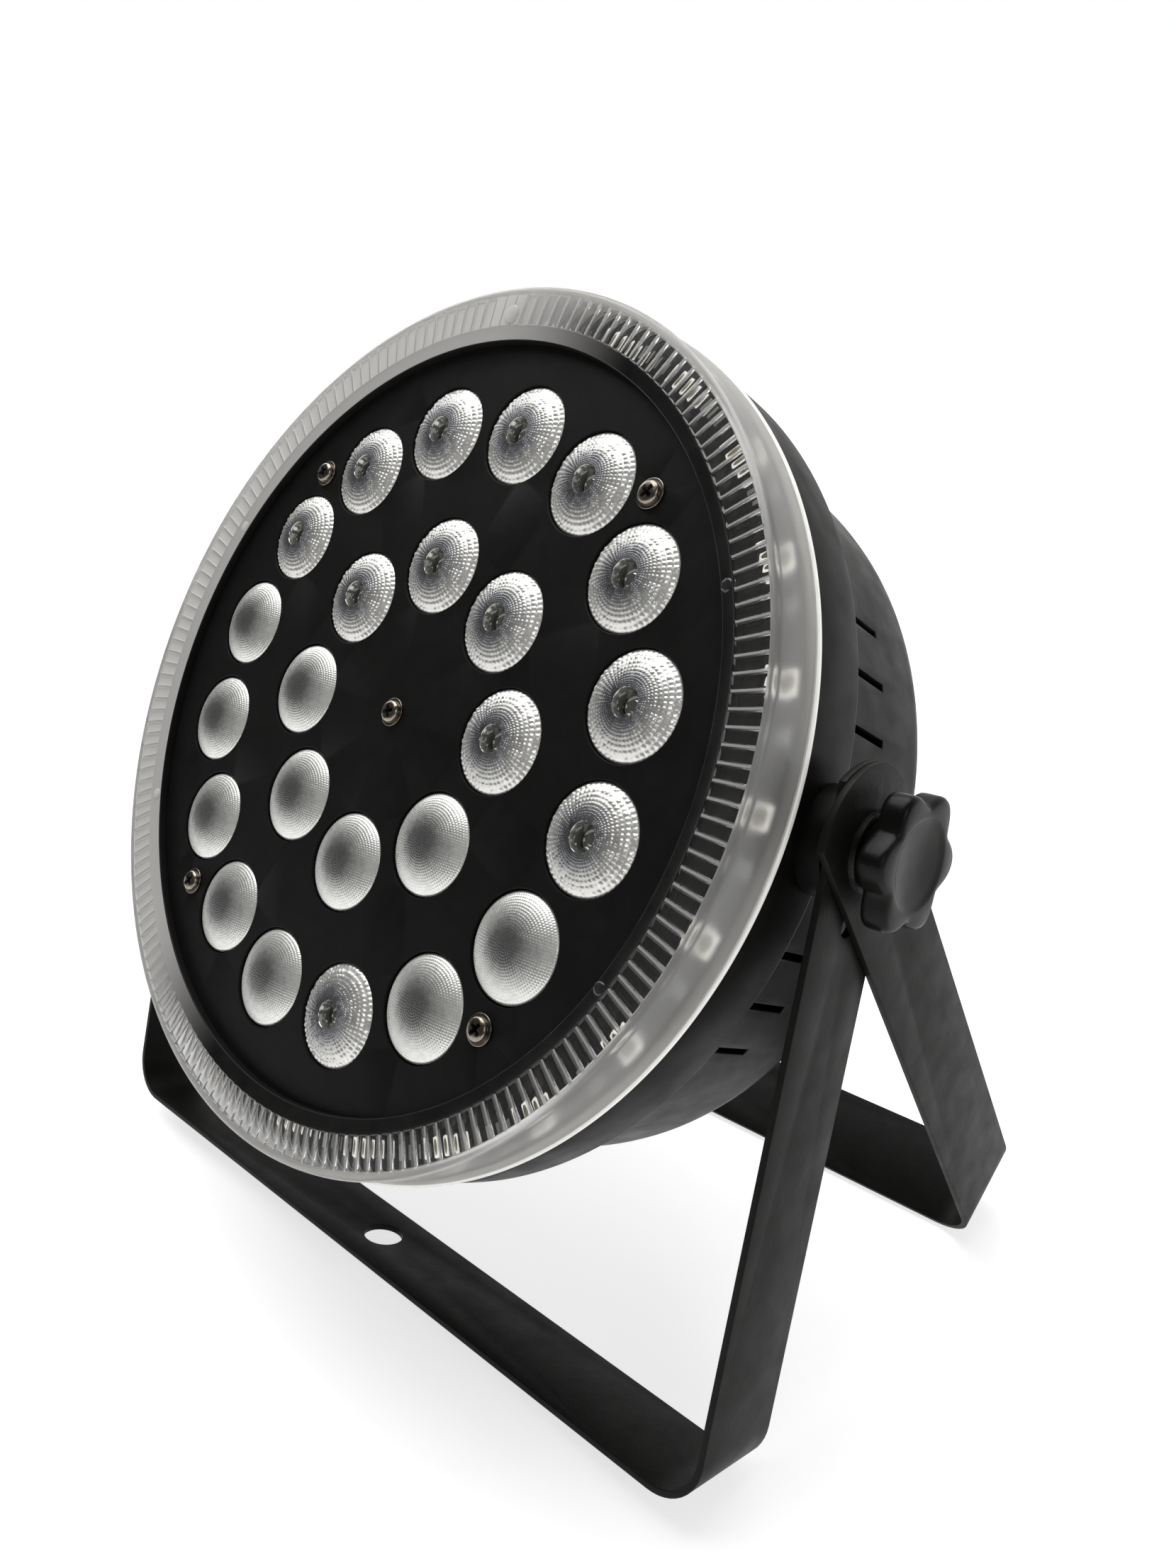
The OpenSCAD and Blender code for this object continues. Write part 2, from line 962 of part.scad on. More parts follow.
module dmx_input() {
    color("#20201f")
        head_frame()
            translate([-dmx_x, dmx_y, 0]) {
                difference() {
                    dmx_shell();
                    rod(9.4, panel_out - 3, panel_out + 13);
                }
                for (a = [30, 150, 270])
                    rotate([0, 0, a])
                        translate([5.2, 0, 0])
                            rod(1.15, panel_out + 1, panel_out + 14);
            }
}

module dmx_output() {
    color("#20201f")
        head_frame()
            translate([dmx_x, dmx_y, 0])
                difference() {
                    dmx_shell();
                    tube(9.6, 8, panel_out - 3, panel_out + 12);
                    for (a = [30, 150, 270])
                        rotate([0, 0, a])
                            translate([5.2, 0, 0])
                                rod(1.4, panel_out - 3, panel_out + 12);
                    translate([0, 12.4, 0])
                        block(7, 3.8, panel_out - 3, panel_out - 0.6);
                }
}

module dmx_latch() {
    color("#6d6f70")
        head_frame()
            translate([dmx_x, dmx_y + 12.4, 0])
                block(6.4, 3.2, panel_out - 4.2, panel_out - 1.6);
}

front_plate();
face_screws();
face_washers();
plate_spacers();
outer_lenses();
inner_lenses();
outer_lens_holders();
inner_lens_holders();
led_board();
led_emitters();
heatsink();
halo_ring();
halo_board();
halo_leds();
front_bezel();
bezel_screws();
rear_housing();
rear_panel();
rear_panel_screws();
left_pivot_boss();
right_pivot_boss();
left_friction_washer();
right_friction_washer();
front_yoke();
rear_yoke();
left_knob_washer();
right_knob_washer();
left_knob();
right_knob();
left_knob_stud();
right_knob_stud();
fan_frame();
fan_rotor();
fan_screws();
power_supply_board();
power_supply_parts();
driver_board();
driver_parts();
board_standoffs();
board_screws();
control_board();
control_standoffs();
control_screws();
tact_switches();
display_module();
display_window();
menu_button();
up_button();
down_button();
enter_button();
power_inlet();
power_outlet();
fuse_holder();
fuse_cap();
dmx_input();
dmx_output();
dmx_latch();
safety_bracket();
safety_screw();
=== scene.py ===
"""The looks of the LED par can light: detailed pieces, finishes, lights and the camera, built
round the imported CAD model. Shapes are drawn in millimetres in the head's own frame (x right, y up
the face, z out of the face, z = 0 on the front plate) or along a pivot axis. Matrices worked out
from the frame then place them."""
import math
import random

import bmesh
import bpy
from mathutils import Matrix, Quaternion, Vector
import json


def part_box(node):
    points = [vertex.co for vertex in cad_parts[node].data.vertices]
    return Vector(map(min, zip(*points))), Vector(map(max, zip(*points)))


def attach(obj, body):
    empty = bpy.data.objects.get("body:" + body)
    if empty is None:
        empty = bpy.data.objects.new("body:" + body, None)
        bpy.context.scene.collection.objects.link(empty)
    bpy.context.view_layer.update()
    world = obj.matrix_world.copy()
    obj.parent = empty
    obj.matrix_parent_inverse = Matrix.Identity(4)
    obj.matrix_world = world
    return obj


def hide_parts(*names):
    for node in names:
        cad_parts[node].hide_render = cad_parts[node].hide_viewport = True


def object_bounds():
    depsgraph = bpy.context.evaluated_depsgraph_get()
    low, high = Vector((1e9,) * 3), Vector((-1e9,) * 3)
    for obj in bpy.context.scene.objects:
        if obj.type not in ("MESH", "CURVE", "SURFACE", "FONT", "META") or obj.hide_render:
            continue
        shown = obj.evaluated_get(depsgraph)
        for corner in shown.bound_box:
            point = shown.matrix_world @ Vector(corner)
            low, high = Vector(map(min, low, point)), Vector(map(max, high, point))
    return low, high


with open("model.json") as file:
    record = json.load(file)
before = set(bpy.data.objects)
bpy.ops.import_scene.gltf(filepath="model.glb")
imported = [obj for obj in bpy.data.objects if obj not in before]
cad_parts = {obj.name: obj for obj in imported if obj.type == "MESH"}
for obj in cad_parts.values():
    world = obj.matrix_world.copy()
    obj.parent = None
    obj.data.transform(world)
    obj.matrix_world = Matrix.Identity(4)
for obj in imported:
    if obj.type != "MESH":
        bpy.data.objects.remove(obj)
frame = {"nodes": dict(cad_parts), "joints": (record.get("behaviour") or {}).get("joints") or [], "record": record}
cad_low, cad_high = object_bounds()

# ---------------------------------------------------------------- the frame

MM = 0.001
TAU = 2 * math.pi
NODES = frame["nodes"]
JOINTS = {joint["name"]: joint for joint in frame["joints"]}
BODY_OF = {node: body for body, nodes in frame["record"]["behaviour"]["bodies"].items()
           for node in nodes}
SLOT_OF = {part["node"]: part["material_slot"] for part in frame["record"]["subparts"]}
PIVOT = Vector(JOINTS["front_yoke_tilt"]["pos_m"])
OUT = Vector(JOINTS["fan_spin"]["axis"]).normalized()
SIDE = Vector((1, 0, 0))
UP_FACE = OUT.cross(SIDE)


def reach(node, direction):
    """How far a CAD node reaches from the pivot in a direction, in millimetres."""
    return max((v.co - PIVOT).dot(direction) for v in NODES[node].data.vertices) / MM


def axes(x, y, z, origin):
    """The matrix from a local frame in millimetres to the row frame in metres."""
    turn = Matrix((x, y, z)).transposed().to_4x4()
    return Matrix.Translation(origin) @ turn @ Matrix.Scale(MM, 4)


PLATE_Z = reach("front_plate", OUT)
HEAD = axes(SIDE, UP_FACE, OUT, PIVOT + OUT * PLATE_Z * MM)
PANEL_Z = -reach("rear_panel", -OUT) - PLATE_Z

# ---------------------------------------------------------------- mesh tools

# edges sharper than this many degrees stay sharp in the shading
SHARP = 38
CORNER_STEPS = 3


def shade(mesh, sharp=SHARP):
    mesh.polygons.foreach_set("use_smooth", [True] * len(mesh.polygons))
    mesh.set_sharp_from_angle(angle=math.radians(sharp))


def make_piece(name, bm, place, mats, body, stands_for=(), sharp=SHARP):
    """Turns a bmesh into a piece that rides on a body and may stand for CAD nodes."""
    bmesh.ops.recalc_face_normals(bm, faces=bm.faces[:])
    mesh = bpy.data.meshes.new(name)
    bm.to_mesh(mesh)
    bm.free()
    mesh.transform(place)
    return add_object(name, mesh, mats, body, stands_for, sharp)


def add_object(name, mesh, mats, body, stands_for=(), sharp=SHARP):
    for mat in mats:
        mesh.materials.append(mat)
    shade(mesh, sharp)
    obj = bpy.data.objects.new(name, mesh)
    bpy.context.scene.collection.objects.link(obj)
    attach(obj, body)
    if stands_for:
        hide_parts(*stands_for)
    return obj


def polar(radius, angle, z):
    return Vector((radius * math.cos(angle), radius * math.sin(angle), z))


def gap(a, b, full):
    """The shorter way between two angles on a circle that measures `full` round."""
    return abs((a - b + full / 2) % full - full / 2)


def lathe(bm, profile, steps, closed=True):
    """Turns a profile of (radius, height) points round z."""
    tips = {i: bm.verts.new((0, 0, z)) for i, (r, z) in enumerate(profile) if r < 1e-6}
    rings = [[tips[i] if i in tips else bm.verts.new(polar(r, TAU * k / steps, z))
              for i, (r, z) in enumerate(profile)] for k in range(steps)]
    stretches = len(profile) if closed else len(profile) - 1
    for k in range(steps):
        a, b = rings[k], rings[(k + 1) % steps]
        for i in range(stretches):
            j = (i + 1) % len(profile)
            corners = [a[i], b[i], b[j], a[j]]
            if i in tips and j in tips:
                continue
            if i in tips:
                corners.pop(1)
            elif j in tips:
                corners.pop(2)
            bm.faces.new(corners)


def rounded(points, cut):
    """A closed outline with each corner replaced by a curve that starts `cut` before it."""
    result = []
    for i, point in enumerate(points):
        here, before = Vector(point), Vector(points[i - 1])
        after = Vector(points[(i + 1) % len(points)])
        reach_back = min(cut, 0.45 * (before - here).length)
        reach_on = min(cut, 0.45 * (after - here).length)
        a = here + (before - here).normalized() * reach_back
        b = here + (after - here).normalized() * reach_on
        for k in range(CORNER_STEPS + 1):
            t = k / CORNER_STEPS
            result.append(tuple(a * (1 - t) ** 2 + here * 2 * t * (1 - t) + b * t ** 2))
    return result


def outline(radius_at, count):
    """A closed outline, as (x, y) points counted round it, from its radius at each angle."""
    angles = [TAU * k / count for k in range(count)]
    return [(radius_at(a) * math.cos(a), radius_at(a) * math.sin(a)) for a in angles]


def circle(radius, count=144):
    return outline(lambda a: radius, count)


def rounded_box(width, height, radius, steps):
    """The outline of a rectangle with round corners, as points counted round it."""
    points = []
    for k, (sx, sy) in enumerate([(1, 1), (-1, 1), (-1, -1), (1, -1)]):
        for i in range(steps + 1):
            a = math.radians(90 * (k + i / steps))
            points.append((sx * (width / 2 - radius) + radius * math.cos(a),
                           sy * (height / 2 - radius) + radius * math.sin(a)))
    return points


def stack(bm, layers, mats=None):
    """Joins outlines of one point count, each given as (points, z), into a closed solid."""
    mats = mats or [0] * (len(layers) - 1)
    rows = [[bm.verts.new((x, y, z)) for x, y in points] for points, z in layers]
    count = len(rows[0])
    for mat, low, high in zip(mats, rows, rows[1:]):
        for i in range(count):
            j = (i + 1) % count
            bm.faces.new((low[i], low[j], high[j], high[i])).material_index = mat
    bm.faces.new(rows[0][::-1]).material_index = mats[0]
    bm.faces.new(rows[-1]).material_index = mats[-1]


def block(bm, size, centre, turn, edge, mat):
    """A box with softened upright and top edges, standing on z = centre[2]."""
    width, depth, height = size
    start = len(bm.verts)
    radius = min(edge * 2, width / 4, depth / 4)
    foot = rounded_box(width, depth, radius, 2)
    top = rounded_box(width - 2 * edge, depth - 2 * edge, radius / 2, 2)
    stack(bm, [(foot, 0), (foot, height - edge), (top, height)], [mat] * 2)
    move_from(bm, start, Matrix.Rotation(turn, 4, "Z") @ Matrix.Translation(centre))


def move_from(bm, start, matrix):
    """Moves the vertices from number `start` on."""
    bm.verts.ensure_lookup_table()
    for vert in bm.verts[start:]:
        vert.co = matrix @ vert.co


def ring_row(bm, radius, heights):
    """A ring of vertices at the given heights."""
    return [bm.verts.new(polar(radius, TAU * k / len(heights), z)) for k, z in enumerate(heights)]


def zip_rows(bm, inner, outer):
    """Fills the strip between two rings of vertices that may differ in count."""
    i, j, na, nb = 0, 0, len(inner), len(outer)
    while i < na or j < nb:
        if j >= nb or (i < na and (i + 1) / na <= (j + 1) / nb):
            bm.faces.new((inner[i % na], outer[j % nb], inner[(i + 1) % na]))
            i += 1
        else:
            bm.faces.new((inner[i % na], outer[j % nb], outer[(j + 1) % nb]))
            j += 1


def close_row(bm, row, z):
    """Closes a ring of vertices with triangles to a point on the axis."""
    tip = bm.verts.new((0, 0, z))
    for k in range(len(row)):
        bm.faces.new((row[(k + 1) % len(row)], row[k], tip))


# softening: vertices closer than this are one, faces this flat to each other are one, edges
# sharper than this are rounded, and what is sharper than this afterwards stays sharp
WELD = 2e-6
FLAT, ROUNDED, SOFT_SHARP = 0.6, 32, 20


def softened(node, width, segments, material):
    """A copy of a CAD node with its sharp edges rounded, which stands for the node."""
    bm = bmesh.new()
    bm.from_mesh(NODES[node].data)
    bmesh.ops.remove_doubles(bm, verts=bm.verts[:], dist=WELD)
    bmesh.ops.dissolve_limit(bm, angle_limit=math.radians(FLAT), verts=bm.verts[:],
                             edges=bm.edges[:])
    limit = math.radians(ROUNDED)
    edges = [e for e in bm.edges if len(e.link_faces) == 2 and e.calc_face_angle(0) > limit]
    bmesh.ops.bevel(bm, geom=edges, offset=width * MM, segments=segments, profile=0.5,
                    affect="EDGES", clamp_overlap=True)
    bmesh.ops.triangulate(bm, faces=[f for f in bm.faces if len(f.verts) > 4])
    mesh = bpy.data.meshes.new(node + "_soft")
    bm.to_mesh(mesh)
    bm.free()
    add_object(node + "_detail", mesh, [material], BODY_OF[node], [node], SOFT_SHARP)


# ---------------------------------------------------------------- materials

# the ring's middle radius, and the direction, anticlockwise from +x, in which the painted milky haze that stands
# for light filling the ring is strongest
RING_R = 98.4
PAINTED_FILL_TURN = math.radians(160)
LENS_R = 11.6
# noise keeps mostly within these values
NOISE_LOW, NOISE_HIGH = 0.3, 0.7


def map_range(tree, value, start, end, low, high, curve="LINEAR"):
    """A socket that goes from low to high while a value goes from start to end."""
    node = tree.nodes.new("ShaderNodeMapRange")
    node.interpolation_type = curve
    numbers = {"From Min": start, "From Max": end, "To Min": low, "To Max": high}
    for socket, number in numbers.items():
        node.inputs[socket].default_value = number
    tree.links.new(value, node.inputs["Value"])
    return node.outputs["Result"]


class Finish:
    """A node material round one Principled shader, built up by its methods."""

    def __init__(self, name, colour, roughness, metallic=0.0, **sockets):
        self.material = bpy.data.materials.new(name)
        self.material.use_nodes = True
        self.tree = self.material.node_tree
        self.nodes, self.links = self.tree.nodes, self.tree.links
        self.shader = self.nodes["Principled BSDF"]
        self.colour = colour
        self.roughness = roughness
        self.shader.inputs["Base Color"].default_value = (*colour, 1)
        self.shader.inputs["Roughness"].default_value = roughness
        self.shader.inputs["Metallic"].default_value = metallic
        for socket, value in sockets.items():
            self.shader.inputs[socket.replace("_", " ")].default_value = value
        self.place = self.nodes.new("ShaderNodeTexCoord").outputs["Object"]
        self.last_bump = None

    def add(self, kind, **values):
        node = self.nodes.new("ShaderNode" + kind)
        for key, value in values.items():
            if key in node.inputs:
                node.inputs[key].default_value = value
            else:
                setattr(node, key, value)
        return node

    def noise(self, scale, detail=2.0):
        node = self.add("TexNoise", Scale=scale, Detail=detail)
        self.links.new(self.place, node.inputs["Vector"])
        return node.outputs["Fac"]

    def spread(self, value, low, high):
        return map_range(self.tree, value, NOISE_LOW, NOISE_HIGH, low, high)

    def smooth(self, value, start, end, low, high):
        """Eases from low to high while a value goes from start to end."""
        return map_range(self.tree, value, start, end, low, high, "SMOOTHSTEP")

    def vary_roughness(self, scale, amount):
        low, high = self.roughness - amount, self.roughness + amount
        value = self.spread(self.noise(scale, 3.0), low, high)
        self.links.new(value, self.shader.inputs["Roughness"])
        return self

    def vary_colour(self, scale, other, detail=3.0):
        mix = self.add("Mix", data_type="RGBA")
        sockets = {socket.identifier: socket for socket in [*mix.inputs, *mix.outputs]}
        sockets["A_Color"].default_value = (*self.colour, 1)
        sockets["B_Color"].default_value = (*other, 1)
        self.links.new(self.spread(self.noise(scale, detail), 0, 1), sockets["Factor_Float"])
        self.links.new(sockets["Result_Color"], self.shader.inputs["Base Color"])
        return self

    def math(self, operation, a, b=None, c=None):
        node = self.add("Math", operation=operation)
        for socket, value in zip(node.inputs, (a, b, c)):
            if isinstance(value, (int, float)):
                socket.default_value = value
            elif value is not None:
                self.links.new(value, socket)
        return node.outputs[0]

    def vector_math(self, operation, a, b=None):
        """A node over sockets or fixed vectors. DOT_PRODUCT and LENGTH give a number."""
        node = self.add("VectorMath", operation=operation)
        for socket, value in zip(node.inputs, (a, b)):
            if isinstance(value, Vector):
                socket.default_value = value
            elif value is not None:
                self.links.new(value, socket)
        return node.outputs["Value" if operation in ("DOT_PRODUCT", "LENGTH") else "Vector"]

    def ramp(self, value, stops):
        """A colour ramp of (position, colour) stops over a value."""
        node = self.nodes.new("ShaderNodeValToRGB")
        elements = node.color_ramp.elements
        while len(elements) < len(stops):
            elements.new(0.5)
        for element, (position, colour) in zip(elements, stops):
            element.position = position
            element.color = (*colour, 1)
        self.links.new(value, node.inputs["Fac"])
        return node.outputs["Color"]

    def bump(self, height, depth_mm):
        node = self.add("Bump", Strength=1.0, Distance=depth_mm * MM)
        self.links.new(height, node.inputs["Height"])
        if self.last_bump:
            self.links.new(self.last_bump, node.inputs["Normal"])
        self.last_bump = node.outputs["Normal"]
        self.links.new(self.last_bump, self.shader.inputs["Normal"])
        return self

    def grain(self, scale, depth_mm):
        return self.bump(self.noise(scale), depth_mm)

    def haze(self, amount, colour):
        """Mixes in the dull white of light that scatters in the plastic. amount is a number or
        a socket."""
        dull = self.nodes.new("ShaderNodeBsdfDiffuse")
        dull.inputs["Color"].default_value = (*colour, 1)
        mix = self.nodes.new("ShaderNodeMixShader")
        if isinstance(amount, (int, float)):
            mix.inputs[0].default_value = amount
        else:
            self.links.new(amount, mix.inputs[0])
        self.links.new(self.shader.outputs[0], mix.inputs[1])
        self.links.new(dull.outputs[0], mix.inputs[2])
        self.links.new(mix.outputs[0], self.nodes["Material Output"].inputs["Surface"])
        return self


def black_plate():
    """Satin black baked paint on the face: a fine even tooth."""
    f = Finish("black_plate", (0.005, 0.0047, 0.0046), 0.48, Specular_IOR_Level=0.12)
    f.vary_colour(260, (0.007, 0.0065, 0.0063))
    return f.vary_roughness(90, 0.05).grain(2600, 0.012).material


def powder_black():
    """Black powder coat on the bent strip: fine orange peel."""
    f = Finish("powder_black", (0.0053, 0.0051, 0.0046), 0.46, Specular_IOR_Level=0.12)
    f.vary_colour(300, (0.0075, 0.0073, 0.0066)).vary_roughness(140, 0.06)
    return f.grain(1500, 0.03).grain(420, 0.03).material


def bezel_black():
    """Satin black on the bezel and the rear housing."""
    f = Finish("bezel_black", (0.0038, 0.0034, 0.0032), 0.4, Specular_IOR_Level=0.085)
    f.vary_colour(200, (0.0072, 0.0066, 0.0062))
    return f.vary_roughness(120, 0.06).grain(2200, 0.018).material


def knob_black():
    """Moulded black plastic with a soft sheen."""
    f = Finish("knob_black", (0.0036, 0.0033, 0.0031), 0.33, Specular_IOR_Level=0.14)
    f.vary_colour(240, (0.007, 0.0064, 0.0059))
    return f.vary_roughness(160, 0.07).grain(1900, 0.02).material


def plastic(name, colour, roughness, glow=0.0):
    """Moulded plastic with slightly uneven colour and a fine grain; glow gives it a painted glow of its own
    colour.
    """
    brighter = tuple(min(0.95, c * 1.25 + 0.002) for c in colour)
    f = Finish(name, colour, roughness, Emission_Strength=glow, Emission_Color=(*colour, 1))
    return f.vary_colour(220, brighter).vary_roughness(150, 0.06).grain(1700, 0.015).material


def metal(name, colour, roughness, other):
    """Plated or bare metal with faint uneven plating and a fine tooth."""
    f = Finish(name, colour, roughness, metallic=1.0)
    return f.vary_colour(700, other).vary_roughness(500, 0.08).grain(2400, 0.008).material


def board(name, colour, other):
    """A printed board: lacquer over faint copper runs."""
    f = Finish(name, colour, 0.35)
    f.vary_colour(120, other, 4.0)
    wave = f.add("TexWave", Scale=90.0, Distortion=6.0, Detail=1.0)
    f.links.new(f.place, wave.inputs["Vector"])
    return f.bump(wave.outputs["Fac"], 0.03).material


def acrylic(name, colour, roughness):
    return Finish(name, colour, roughness, IOR=1.49, Transmission_Weight=1.0)


def lens_acrylic():
    """Clear acrylic with faint flow marks from its moulding."""
    f = acrylic("lens_acrylic", (0.965, 0.968, 0.97), 0.03)
    return f.vary_roughness(120, 0.02).grain(260, 0.02).material


def toward_painted_fill(f):
    """The cosine of the direction round the ring, which is 1 where the painted haze for the light that fills the
    ring is strongest.
    """
    x = f.vector_math("DOT_PRODUCT", f.place, SIDE)
    y = f.math("SUBTRACT", f.vector_math("DOT_PRODUCT", f.place, UP_FACE), PIVOT.dot(UP_FACE))
    across = f.math("MULTIPLY_ADD", y, math.sin(PAINTED_FILL_TURN), f.math("MULTIPLY", x, math.cos(PAINTED_FILL_TURN)))
    return f.math("DIVIDE", across, RING_R * MM)


def ring_acrylic():
    """The ring's acrylic, with a painted milky haze towards the head's left that stands for the light filling it
    there.
    """
    f = acrylic("ring_acrylic", (0.97, 0.97, 0.965), 0.04)
    amount = f.smooth(toward_painted_fill(f), 0.0, 0.4, 0.025, 0.94)
    return f.vary_roughness(120, 0.02).grain(260, 0.015).haze(amount, (0.6, 0.59, 0.574)).material


def flange_acrylic():
    """The ring's flange, which lies on the black plate and so looks like black gloss, with a painted milky haze
    towards the left that stands for the light filling the ring there."""
    f = Finish("ring_flange", (0.006, 0.006, 0.0058), 0.1, IOR=1.49)
    f.vary_colour(180, (0.012, 0.012, 0.0115))
    amount = f.smooth(toward_painted_fill(f), -0.12, 0.4, 0.0, 0.9)
    return f.vary_roughness(300, 0.05).grain(320, 0.03).haze(amount, (0.5, 0.49, 0.476)).material


def frosted_acrylic(name, colour, haze, roughness=0.33):
    """Acrylic with a ground surface, which blurs what stands behind it."""
    f = acrylic(name, colour, roughness)
    return f.vary_roughness(60, 0.04).grain(900, 0.01).haze(haze, (0.7, 0.69, 0.67)).material


def beads_painted_reflection(name, stops, shift):
    """Moulded beads whose colour is a painted reflection of the lens's silver cone behind them: dark in the middle
    and bright towards the rim. stops gives that painted colour from the middle out, and shift moves the painted
    dark middle towards the head's left, in millimetres."""
    f = Finish(name, (0.8, 0.8, 0.78), 0.32, metallic=0.62)
    flat = f.vector_math("SUBTRACT", f.place, f.vector_math("PROJECT", f.place, OUT))
    distance = f.vector_math("LENGTH", f.vector_math("ADD", flat, SIDE * shift * MM))
    share = f.math("DIVIDE", distance, LENS_R * MM)
    uneven = f.math("MULTIPLY_ADD", f.noise(700), 0.22, -0.11)
    f.links.new(f.ramp(f.math("ADD", share, uneven), stops), f.shader.inputs["Base Color"])
    return f.vary_roughness(900, 0.06).material


def lens_well():
    """The clear bulge over the LED, which mirrors the room in its dark hollow."""
    f = Finish("lens_well", (0.42, 0.42, 0.4), 0.12, metallic=0.8)
    return f.vary_roughness(90, 0.02).material


BLACK_PLATE = black_plate()
POWDER = powder_black()
BEZEL = bezel_black()
KNOB = knob_black()
NICKEL = metal("nickel", (0.33, 0.295, 0.25), 0.25, (0.2, 0.175, 0.145))
DARK_SCREW = metal("dark_screw", (0.09, 0.088, 0.085), 0.4, (0.13, 0.125, 0.12))
# painted shade: a dark metal for the screws' cross recesses, which stands for the shade in them
RECESS_SHADE = metal("screw_recess_painted_shade", (0.05, 0.045, 0.038), 0.5, (0.025, 0.022, 0.02))
BRASS = metal("brass", (0.62, 0.47, 0.22), 0.32, (0.5, 0.37, 0.16))
ALUMINIUM = metal("aluminium", (0.62, 0.63, 0.65), 0.36, (0.55, 0.56, 0.58))
BLACK_PLASTIC = plastic("black_plastic", (0.016, 0.016, 0.016), 0.5)
SOCKET = plastic("socket_plastic", (0.013, 0.013, 0.0135), 0.36)
RUBBER = plastic("rubber", (0.011, 0.011, 0.011), 0.75)
GREY_BUTTON = plastic("grey_button", (0.055, 0.055, 0.058), 0.55)
WHITE_BOARD = board("white_board", (0.7, 0.7, 0.67), (0.62, 0.62, 0.6))
GREEN_BOARD = board("green_board", (0.025, 0.11, 0.045), (0.03, 0.14, 0.06))
BLACK_BOARD = board("black_board", (0.011, 0.012, 0.014), (0.02, 0.02, 0.022))
COMPONENT = plastic("component_black", (0.03, 0.03, 0.032), 0.5)
# painted light: the halo's LED packages glow a little, for the room's light that reaches them through the ring
LED_WHITE = plastic("led_white_painted_glow", (0.88, 0.85, 0.78), 0.4, 0.85)
LED_LENS = plastic("led_window", (0.62, 0.58, 0.42), 0.15)
DISPLAY = plastic("display_red", (0.02, 0.0022, 0.002), 0.12)
SEGMENT = plastic("display_segments", (0.075, 0.007, 0.005), 0.3)
CLEAR = ring_acrylic()
LENS = lens_acrylic()
FLANGE = flange_acrylic()
FROSTED = frosted_acrylic("ring_side_wall", (0.95, 0.95, 0.935), 0.21)
BAND = frosted_acrylic("ring_band", (0.9, 0.9, 0.89), 0.22)
RIB = frosted_acrylic("ring_ribs", (0.95, 0.95, 0.94), 0.45, 0.2)
# painted highlight: the rim is a pale, faintly glowing plastic that stands for the bright line of light along the
# ring's rim
RIM_PAINTED_HIGHLIGHT = plastic("ring_rim_painted_highlight", (0.9, 0.88, 0.82), 0.2, 0.14)
# both lens finishes paint the cone's reflection: dark in the middle, bright silver towards the rim
BEADS = beads_painted_reflection("lens_beads", [(0.0, (0.13, 0.13, 0.129)), (0.3, (0.175, 0.175, 0.172)),
                                   (0.6, (0.53, 0.528, 0.51)), (0.97, (0.92, 0.915, 0.88))], 0.5)
WELL = lens_well()
FACETS = beads_painted_reflection("lens_facets", [(0.26, (0.06, 0.06, 0.063)), (0.46, (0.2, 0.203, 0.212)),
                                     (0.72, (0.55, 0.545, 0.525)), (1.0, (0.88, 0.87, 0.835))], 1.3)
LENS_FINISHES = [LENS, BEADS, FACETS, WELL]
RING_FINISHES = [CLEAR, FROSTED, RIM_PAINTED_HIGHLIGHT, BAND, FLANGE, BLACK_PLATE, RIB]

SLOT_FINISH = {
    "black_plate": BLACK_PLATE, "nickel_screws": NICKEL, "brass_spacers": BRASS, "bead_lens": LENS,
    "black_plastic": BLACK_PLASTIC, "white_board": WHITE_BOARD, "led_emitter": LED_LENS,
    "bare_aluminium": ALUMINIUM, "clear_ring": CLEAR, "black_board": BLACK_BOARD,
    "led_package": LED_WHITE, "black_paint": BEZEL, "black_screws": DARK_SCREW,
    "black_rubber": RUBBER, "black_powder_coat": POWDER, "knob_plastic": KNOB,
    "green_board": GREEN_BOARD, "component_black": COMPONENT, "display_red": DISPLAY,
    "display_glass": DISPLAY, "button_grey": GREY_BUTTON, "socket_plastic": SOCKET,
    "socket_metal": SOCKET,
}
for node, obj in NODES.items():
    washer = node.endswith("knob_washer")
    obj.data.materials.clear()
    obj.data.materials.append(DARK_SCREW if washer else SLOT_FINISH[SLOT_OF[node]])

# ---------------------------------------------------------------- lenses

DOME_R, DOME_TOP = 21.5, 2.7
WELL_R = 3.2
EDGE_STEPS, WELL_STEPS = 96, 48
LENS_SHARP = 40
# across one bead: how high it stands at each quarter of its width
BEAD = (0.0, 0.72, 1.0, 0.72)
# the lens's edge, its cone and the small hollow over the LED, which ends in a point
BACK_PROFILE = [(11.6, -0.95), (11.6, -2.9), (11.3, -3.2), (10.9, -3.2), (3.4, -12.1), (3.2, -12.2),
                (2.7, -12.2), (2.25, -7.6), (1.9, -7.3)]
BACK_TIP = -7.1
# each circle: its node, radius, number of lenses, angle of the first, and which ones have an open
# middle, counted anticlockwise from that one. The others are beaded all over.
LENS_CIRCLES = [("outer_lenses", 70.0, 16, 11.25, (0, 1, 2, 3, 4, 5, 6, 12, 15)),
                ("inner_lenses", 36.2, 8, 0.0, (0, 1, 2, 3))]


def dome(radius):
    """Height of the lens's smooth dome at a radius."""
    return DOME_TOP - DOME_R + math.sqrt(DOME_R ** 2 - radius ** 2)


